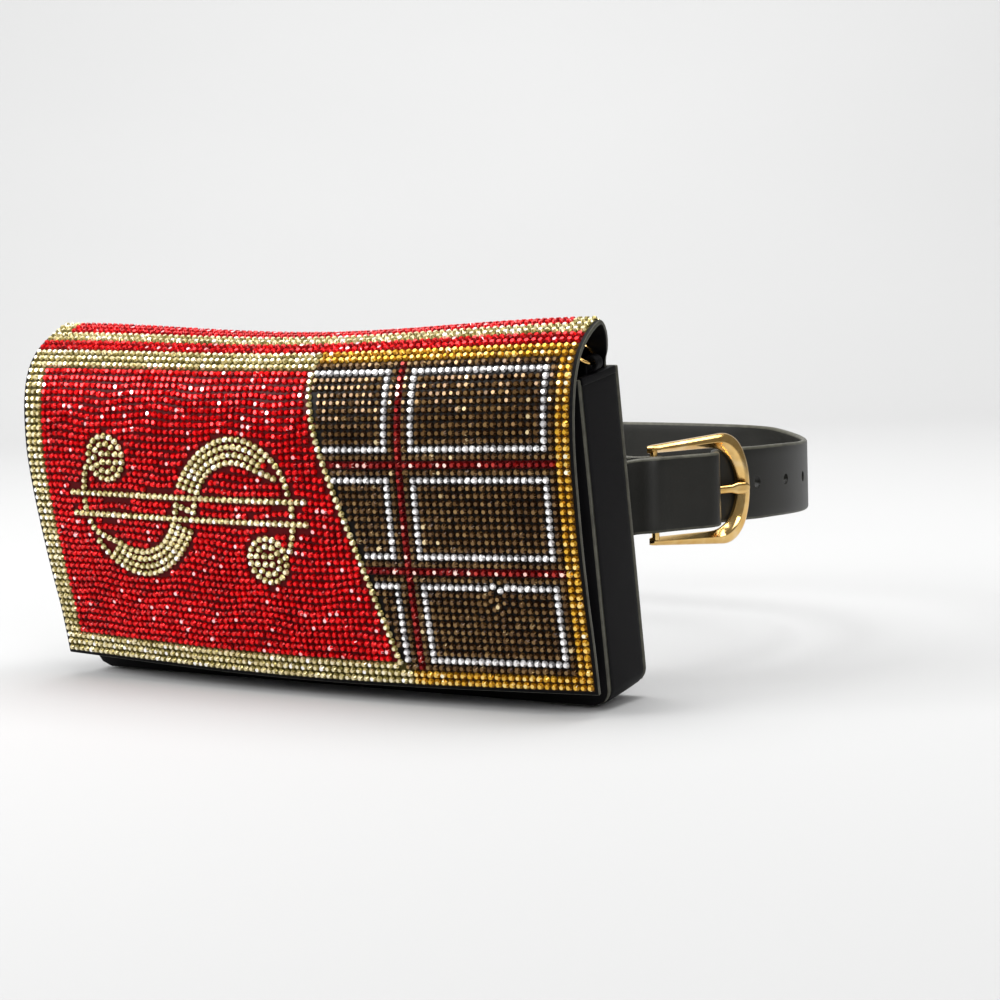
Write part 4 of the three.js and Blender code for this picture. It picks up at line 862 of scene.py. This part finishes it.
def stitched(name, lines, outward, place, pitch=3.6, length=2.9, thickness=0.55):
    """One mesh of raised stitches along lines of points in mm, on a face that looks in the outward direction."""
    outward = Vector(outward).normalized()
    points, faces = [], []
    rings = [(math.sin(a), math.cos(a)) for a in np.linspace(0.25, math.pi - 0.25, 6)]
    for line in lines:
        line = np.asarray(line, float)
        run = np.concatenate([[0], np.cumsum(np.linalg.norm(np.diff(line, axis=0), axis=1))])
        for s in np.arange(pitch / 2, run[-1], pitch):
            ends = [Vector([np.interp(p, run, line[:, k]) for k in range(3)])
                    for p in (s - length / 2, s + length / 2)]
            along = (ends[1] - ends[0]) / 2
            beside = outward.cross(along).normalized() * thickness / 2
            start = len(points)
            for wide, far in rings:
                for a in np.arange(8) * math.pi / 4:
                    points.append((ends[0] + ends[1]) / 2 - along * far
                                  + (beside * math.cos(a) + outward * (thickness * 0.4 * math.sin(a))) * wide)
            for r in range(len(rings) - 1):
                for k in range(8):
                    a, b = start + r * 8, start + r * 8 + 8
                    faces.append((a + k, a + (k + 1) % 8, b + (k + 1) % 8, b + k))
            end = start + 8 * len(rings)
            faces += [tuple(range(start, start + 8)), tuple(range(end - 8, end))]
    piece = mesh_object(name, place(np.array([tuple(p) for p in points])), faces, [thread])
    return welded(piece, 80)


def bent_line(points, spacing):
    """Smooth line through unevenly spaced rows of points, cut into steps of about that length in mm."""
    p = np.asarray(points, float)
    s = np.concatenate([[0], np.cumsum(np.linalg.norm(np.diff(p[:, :3], axis=0), axis=1))])
    slopes = np.gradient(p, s, axis=0)
    places = np.linspace(0, s[-1], int(s[-1] / spacing) + 1)
    k = np.clip(np.searchsorted(s, places, side="right") - 1, 0, len(s) - 2)
    h = (s[k + 1] - s[k])[:, None]
    t = (places - s[k])[:, None] / h
    return ((2 * t ** 3 - 3 * t ** 2 + 1) * p[k] + (t ** 3 - 2 * t ** 2 + t) * h * slopes[k]
            + (3 * t ** 2 - 2 * t ** 3) * p[k + 1] + (t ** 3 - t ** 2) * h * slopes[k + 1])


seat = SEAM_GAP + LOOP_THICK / 2
land_top, land_foot = LOOP_TOP + LOOP_THICK, LOOP_FOOT - LOOP_THICK
for side, name in ((-1, "left"), (1, "right")):
    x = side * LOOP_OFFSET
    face, foot_face = LOOP_FACE + LOOP_THICK / 2, LOOP_FOOT_FACE + LOOP_THICK / 2
    line = bent_line([
        (x, seat, land_top + LOOP_LAND), (x, seat, land_top + 4), (x, seat + 0.3, land_top + 1.4),
        (x, seat + 2.2, land_top + 0.1), (x, face - 2.2, LOOP_TOP + 0.9), (x, face - 0.5, LOOP_TOP - 0.2),
        (x, face - 0.25, LOOP_TOP - 3), (x, (face + foot_face) / 2, (LOOP_TOP + LOOP_FOOT) / 2),
        (x, foot_face + 0.2, LOOP_FOOT + 3), (x, foot_face - 0.5, LOOP_FOOT + 0.2),
        (x, foot_face - 2.2, LOOP_FOOT - 0.7), (x, seat + 1.4, land_foot - 0.1),
        (x, seat + 0.3, land_foot - 1.4), (x, seat, land_foot - 4), (x, seat, land_foot - LOOP_LAND),
    ], 0.8)
    loop = strip_along(f"{name}_belt_loop_strip", line, (1, 0, 0), LOOP_WIDTH, LOOP_THICK,
                       [bag_leather, edge_paint], leaned)
    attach(loop, "root")
    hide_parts(f"{name}_belt_loop")
    boxes = []
    for low, high in ((LOOP_TOP + 3.6, LOOP_TOP + 9.2), (LOOP_FOOT - 9.2, LOOP_FOOT - 3.6)):
        depth = SEAM_GAP + LOOP_THICK
        corners = [(x - 5, depth, low), (x + 5, depth, low), (x + 5, depth, high), (x - 5, depth, high),
                   (x - 5, depth, low)]
        boxes += [corners, [corners[0], corners[2]], [corners[1], corners[3]]]
    stitches = stitched(f"{name}_loop_stitches", boxes, (0, 1, 0), leaned, pitch=2.4, length=1.9, thickness=0.5)
    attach(stitches, "root")

# Foot seam: the flap's foot is sewn to the inside of the back panel, so one line of stitches runs along the
# panel's outside, 6 mm below its top edge.
SEAM_HALF, SEAM_UP = 96.0, MOUTH - 6.0
seam = stitched("flap_foot_stitches", [[(-SEAM_HALF, 0.0, SEAM_UP), (SEAM_HALF, 0.0, SEAM_UP)]], (0, 1, 0), leaned)
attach(seam, "root")

# Strap: one inch wide, two plies of split leather glued back to back, 2.2 mm thick, with painted edges. It
# lies flat behind the pouch inside the loops, goes round the waist, up through the buckle over the prong, and
# back under the pouch as the tail. Its end is skived thin, wraps the pivot bar and is glued down.
WAIST_HALF_WIDTH, WAIST_HALF_DEPTH, WAIST_FLAT = 113.5, 84.5, 42.0
STRAP_WIDTH, STRAP_THICK, STRAP_CLEAR = 25.4, 2.2, 0.3
TAIL_TIP, TAIL_DROOP, INNER_LIFT, STRAP_LIFT = 18.0, 2.0, 3.0, 1.6
HIP_SAG, HIP_LEVEL_AT, HIP_WAVE = 1.4, 10.0, 3.4
BUCKLE_ANGLE, BUCKLE_LIFT = 29.5, 1.0
FRAME_RIGHT, FRAME_LENGTH, FRAME_BAR, FRAME_THICK = 20.5, 43.0, 5.2, 3.4
PIVOT_RADIUS, EYE_PLY, PRONG_THICK = 1.3, 1.4, 2.2
STRAP_DIP, DIP_RUN = 2.8, 5.0
HOLE_RADIUS, HOLE_PITCH, HOLE_COUNT, PRONG_HOLE_AT = 1.9, 20.0, 4, 7.4

# Strap leather: the same kind of coated split leather, ironed smoother and waxed. It dries to a charcoal with a
# slight olive cast and a broad soft shine.
strap_leather, tree, shader = finish_of("coated_strap_leather_charcoal", {
    "Roughness": 0.42, "IOR": 1.48, "Specular IOR Level": 0.3})
space = node(tree, "TexCoord")
pores = node(tree, "TexVoronoi", {"Vector": space.outputs["Object"], "Scale": 1 / 0.0006},
             feature="DISTANCE_TO_EDGE")
cast = node(tree, "TexNoise", {"Vector": space.outputs["Object"], "Scale": 1 / 0.02, "Detail": 6.0})
node(tree, "ValToRGB", {"Fac": cast.outputs["Fac"]}, [(0.3, "#131310"), (0.7, "#1b1a16")],
     shader.inputs["Base Color"])
node(tree, "MapRange", {"Value": cast.outputs["Fac"], "To Min": 0.36, "To Max": 0.48},
     into=shader.inputs["Roughness"])
node(tree, "Bump", {"Height": pores.outputs["Distance"], "Strength": 0.4, "Distance": 0.0001},
     into=shader.inputs["Normal"])


def waist_place(angle, side, out, lift=0.0):
    """Place beside the waist: -90 degrees is the front, 0 the hip and 90 the back; side is 1 on the right."""
    a = math.radians(angle)
    reach = WAIST_HALF_WIDTH - WAIST_FLAT
    normal = Vector((side * math.cos(a) / reach, math.sin(a) / WAIST_HALF_DEPTH)).normalized()
    return (side * (WAIST_FLAT + reach * math.cos(a)) + normal.x * out,
            WAIST_HALF_DEPTH * math.sin(a) + normal.y * out, lift)


def hip_lift(angle):
    """Height of the strap's middle past the buckle: it falls, sags beyond the hip, and is level at the back."""
    turn = HIP_WAVE * (angle - HIP_LEVEL_AT)
    return -HIP_SAG * math.sin(math.radians(turn)) if turn < 180 else 0.0


def drop_at(t):
    """Level of the waist below the buckle's flat line."""
    return -t * t / (2 * WAIST_HALF_DEPTH)


frame_left = FRAME_RIGHT - FRAME_LENGTH
bar_at = FRAME_RIGHT - FRAME_BAR / 2
pivot_at = frame_left + 2 * PIVOT_RADIUS
inner_out = STRAP_THICK / 2
tail_out = inner_out + STRAP_THICK + STRAP_CLEAR
frame_plane = drop_at(bar_at) + STRAP_THICK + STRAP_CLEAR + FRAME_THICK / 2
eye_radius = PIVOT_RADIUS + STRAP_CLEAR + EYE_PLY
over_pivot = frame_plane + eye_radius + STRAP_CLEAR + STRAP_THICK / 2
prong_rest = frame_plane + FRAME_THICK / 2 + STRAP_CLEAR + PRONG_THICK / 2
over_prong = prong_rest + PRONG_THICK / 2 + STRAP_CLEAR + STRAP_THICK / 2
under_bar = drop_at(bar_at) + inner_out
buckle_spot = Vector(waist_place(-BUCKLE_ANGLE, 1, 0.0))
buckle_out = (Vector(waist_place(-BUCKLE_ANGLE, 1, 1.0)) - buckle_spot).normalized()
buckle_heading = Vector((-buckle_out.y, buckle_out.x, 0))


def in_buckle(t, n, z=0.0):
    """Place in the buckle: t along the strap to the hip, n out from the waist, z up from the buckle's middle."""
    return tuple(buckle_spot + buckle_heading * t + buckle_out * n + Vector((0, 0, z + BUCKLE_LIFT)))


left_angle, right_angle, turn_step = -BUCKLE_ANGLE - 19, -BUCKLE_ANGLE + 19, 8
route = [(x, -WAIST_HALF_DEPTH - tail_out, -TAIL_DROOP) for x in (TAIL_TIP, TAIL_TIP + 5)]
route += [waist_place(a, 1, tail_out, -TAIL_DROOP) for a in np.arange(-90, left_angle - 4, turn_step)]
route.append(in_buckle(pivot_at - 8, (drop_at(pivot_at - 8) + tail_out + over_pivot) / 2,
                       STRAP_LIFT - 0.4 - BUCKLE_LIFT))
route += [in_buckle(*place, STRAP_LIFT - BUCKLE_LIFT) for place in (
    (pivot_at - 3, over_pivot), (pivot_at + 3, over_pivot),
    ((pivot_at + STRAP_DIP) / 2, (over_pivot + over_prong) / 2),
    (STRAP_DIP - 3, over_prong), (STRAP_DIP, over_prong - 1),
    (STRAP_DIP + DIP_RUN / 2, (over_prong + under_bar) / 2), (STRAP_DIP + DIP_RUN, under_bar + 0.3),
    (STRAP_DIP + DIP_RUN + 3, under_bar), (bar_at + FRAME_BAR / 2, drop_at(bar_at + FRAME_BAR / 2) + inner_out))]
route += [waist_place(a, 1, inner_out, hip_lift(a)) for a in np.arange(right_angle, 90, turn_step)]
for a in np.arange(90, -90, -turn_step):
    share = min(max((a + 90) / 60, 0), 1)
    route.append(waist_place(a, -1, inner_out, INNER_LIFT * (1 - share ** 2 * (3 - 2 * share))))
route.append(waist_place(-90, -1, inner_out, INNER_LIFT))
route += [waist_place(a, 1, inner_out, INNER_LIFT) for a in np.arange(-90, left_angle - 4, turn_step)]
route.append(in_buckle(pivot_at - 10, drop_at(pivot_at - 10) + inner_out,
                       (INNER_LIFT + STRAP_LIFT) / 2 - BUCKLE_LIFT))
wrap = PIVOT_RADIUS + STRAP_CLEAR + EYE_PLY / 2
eye_route = [(pivot_at - 4, frame_plane - wrap - 0.6)]
eye_route += [(pivot_at - wrap * math.cos(a), frame_plane - wrap * math.sin(a))
              for a in np.linspace(0.4, -0.75, 8) * math.pi]
eye_route += [(pivot_at - 5.5, frame_plane - 1.4), (pivot_at - 7.5, frame_plane - 2.6)]
route += [in_buckle(t, n, STRAP_LIFT - BUCKLE_LIFT) for t, n in eye_route]
strap_line = bent_line(route, 1.4)
run = np.concatenate([[0], np.cumsum(np.linalg.norm(np.diff(strap_line, axis=0), axis=1))])
tip = np.clip(run / 9.0, 0.02, 1)
strap_wide = STRAP_WIDTH * np.where(run < 9.0, np.sqrt(1 - (1 - tip) ** 2), 1)
strap_thick = np.interp(run[-1] - run, [0, 6, 12, 24], [0.5, EYE_PLY, EYE_PLY, STRAP_THICK])


def in_metres(points):
    """Points of the belt in mm, to metres: the belt is drawn in place."""
    return points / 1000


strap = strip_along("waist_strap", strap_line, (0, 0, 1), strap_wide, strap_thick,
                    [strap_leather, edge_paint], in_metres)


def punched(piece, cutters):
    """Cuts the shapes of other pieces out of a piece and takes those away."""
    for cutter in cutters:
        cut = piece.modifiers.new("punch", "BOOLEAN")
        cut.object = cutter
        cut.solver = "MANIFOLD"
    made_real(piece)
    for cutter in cutters:
        bpy.data.objects.remove(cutter)
    piece.data.set_sharp_from_angle(angle=math.radians(50))
    return piece


def prong_shape(name, wide, thick, extra, finish):
    """Prong along its line from the pivot bar to the bowed bar, with a flattened and widened tip."""
    start, end = Vector(in_buckle(pivot_at, frame_plane + PIVOT_RADIUS)), Vector(in_buckle(bar_at, prong_rest))
    shares = np.concatenate([np.linspace(0, 0.93, 30), np.linspace(0.935, 1, 8)])
    line = [start.lerp(end, s) for s in shares]
    flare = np.interp(shares, [0, 0.8, 0.87, 1], [0, 0, 1, 1])
    width = wide + extra * flare
    nose = np.sqrt(np.clip(1 - np.clip((shares - 0.95) / 0.05, 0, 1) ** 2, 0.02, 1))
    height = thick * (1 - 0.12 * flare) * (0.4 + 0.6 * nose)
    return strip_along(name, [tuple(p) for p in line], (0, 0, 1), width * nose, height, [finish], in_metres)


cutters = [prong_shape("prong_slot", 3.6, 2.8, 1.0, strap_leather)]
reach = eye_radius + 0.6
slot_corners = [in_buckle(pivot_at + reach * t, frame_plane + reach * n, z)
                for z in (-1.8, 1.8) for t, n in ((-1, -1), (1, -1), (1, 1), (-1, 1))]
slot_faces = [(3, 2, 1, 0), (4, 5, 6, 7), (0, 1, 5, 4), (1, 2, 6, 5), (2, 3, 7, 6), (3, 0, 4, 7)]
cutters.append(welded(mesh_object("eye_slot", np.array(slot_corners) / 1000, slot_faces, [strap_leather])))
for k in range(1, HOLE_COUNT + 1):
    angle = -BUCKLE_ANGLE + math.degrees((PRONG_HOLE_AT + k * HOLE_PITCH) / WAIST_HALF_DEPTH)
    spot = Vector(waist_place(angle, 1, 0, hip_lift(angle)))
    cutters.append(turned(f"hole_{k}", [(0, -4), (HOLE_RADIUS, -4), (HOLE_RADIUS, 6), (0, 6)], spot,
                          Vector(waist_place(angle, 1, 1, hip_lift(angle))) - spot, strap_leather, in_metres, 24))
punched(strap, cutters)
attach(strap, "root")
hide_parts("strap")

# Buckle frame: cast zinc, polished and gold plated. Two arms widen from the pivot bar to a bowed bar. A ridge
# runs round it, with a broad rounded face outside and a steep bevel inside. The arms end on the pivot bar.
FRAME_HEIGHT, FRAME_NARROW_END, FRAME_ARM, FRAME_ARM_AT_CORNER = 38.0, 33.5, 2.6, 4.8
FRAME_BEND, FRAME_ROUND = 11.5, 0.54
ARM_STEPS, BEND_STEPS = 26, 26


def frame_edge(left, right, narrow, tall):
    """One edge of the frame in the buckle's flat: along the lower arm, round both corners and back."""
    arm = np.linspace((left, -narrow), (right - FRAME_BEND, -tall), ARM_STEPS, endpoint=False)
    t = np.linspace(0, 1, BEND_STEPS)[:, None]
    knots = np.array([(right - FRAME_BEND, -tall), (right - FRAME_BEND / 3, -tall),
                      (right, -FRAME_ROUND * tall), (right, 0)])
    bend = ((1 - t) ** 3 * knots[0] + 3 * t * (1 - t) ** 2 * knots[1]
            + 3 * t ** 2 * (1 - t) * knots[2] + t ** 3 * knots[3])
    lower = np.concatenate([arm, bend])
    return np.concatenate([lower, lower[-2::-1] * (1, -1)])


narrow, tall = FRAME_NARROW_END / 2, FRAME_HEIGHT / 2
outside = frame_edge(frame_left, FRAME_RIGHT, narrow, tall)
inside = frame_edge(frame_left, FRAME_RIGHT - FRAME_BAR, narrow - FRAME_ARM, tall - FRAME_ARM_AT_CORNER)
# Section from the inner edge, 0, to the outer edge, 1, and its height above the back as a share of the thickness
SECTION = [(0.06, 0.0), (0.94, 0.0), (0.985, 0.07), (1.0, 0.2), (1.0, 0.38), (0.985, 0.52), (0.93, 0.68),
           (0.84, 0.8), (0.72, 0.9), (0.58, 0.965), (0.44, 1.0), (0.4, 0.99), (0.22, 0.72), (0.06, 0.4),
           (0.015, 0.3), (0.0, 0.2), (0.015, 0.06)]
rows = []
for out_point, in_point in zip(outside, inside):
    along = (out_point + in_point) / 2
    past = min(max((pivot_at - along[0]) / (pivot_at - frame_left), 0), 1)
    boss = math.sqrt(max(1 - past ** 2, 0.0025))
    for share, height in SECTION:
        flat = in_point + (out_point - in_point) * (0.5 + (share - 0.5) * (0.75 + 0.25 * boss))
        rows.append(in_buckle(flat[0], frame_plane + FRAME_THICK * (height - 0.5) * boss, flat[1]))
index = np.arange(len(rows)).reshape(-1, len(SECTION))
buckle = mesh_object("buckle_frame_plated", np.array(rows) / 1000, capped(index), [gold_plate])
welded(buckle, 32)
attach(buckle, "root")
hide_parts("buckle_frame")

pivot_reach = (FRAME_NARROW_END - FRAME_ARM) / 2
pivot = turned("buckle_pivot_bar", [(0, -pivot_reach), (PIVOT_RADIUS, -pivot_reach),
                                    (PIVOT_RADIUS, pivot_reach), (0, pivot_reach)],
               in_buckle(pivot_at, frame_plane), (0, 0, 1), gold_plate, in_metres, 32)
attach(pivot, "root")

# Prong: a stamped and plated tongue that hooks round the pivot bar, passes up through the strap's slot and
# hole, and rests on the bowed bar with a flattened tip.
prong = prong_shape("buckle_prong_plated", 2.8, PRONG_THICK, 1.2, gold_plate)
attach(prong, "root")
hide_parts("buckle_prong")
collar_line = [(0.3, -1.3), (1.3, -1.3), (1.6, -1.0), (1.6, 1.0), (1.3, 1.3), (0.3, 1.3)]
collar = turned("prong_collar", [(PIVOT_RADIUS + proud, up) for proud, up in collar_line],
                in_buckle(pivot_at, frame_plane), (0, 0, 1), gold_plate, in_metres, 40, closed=True)
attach(collar, "root")
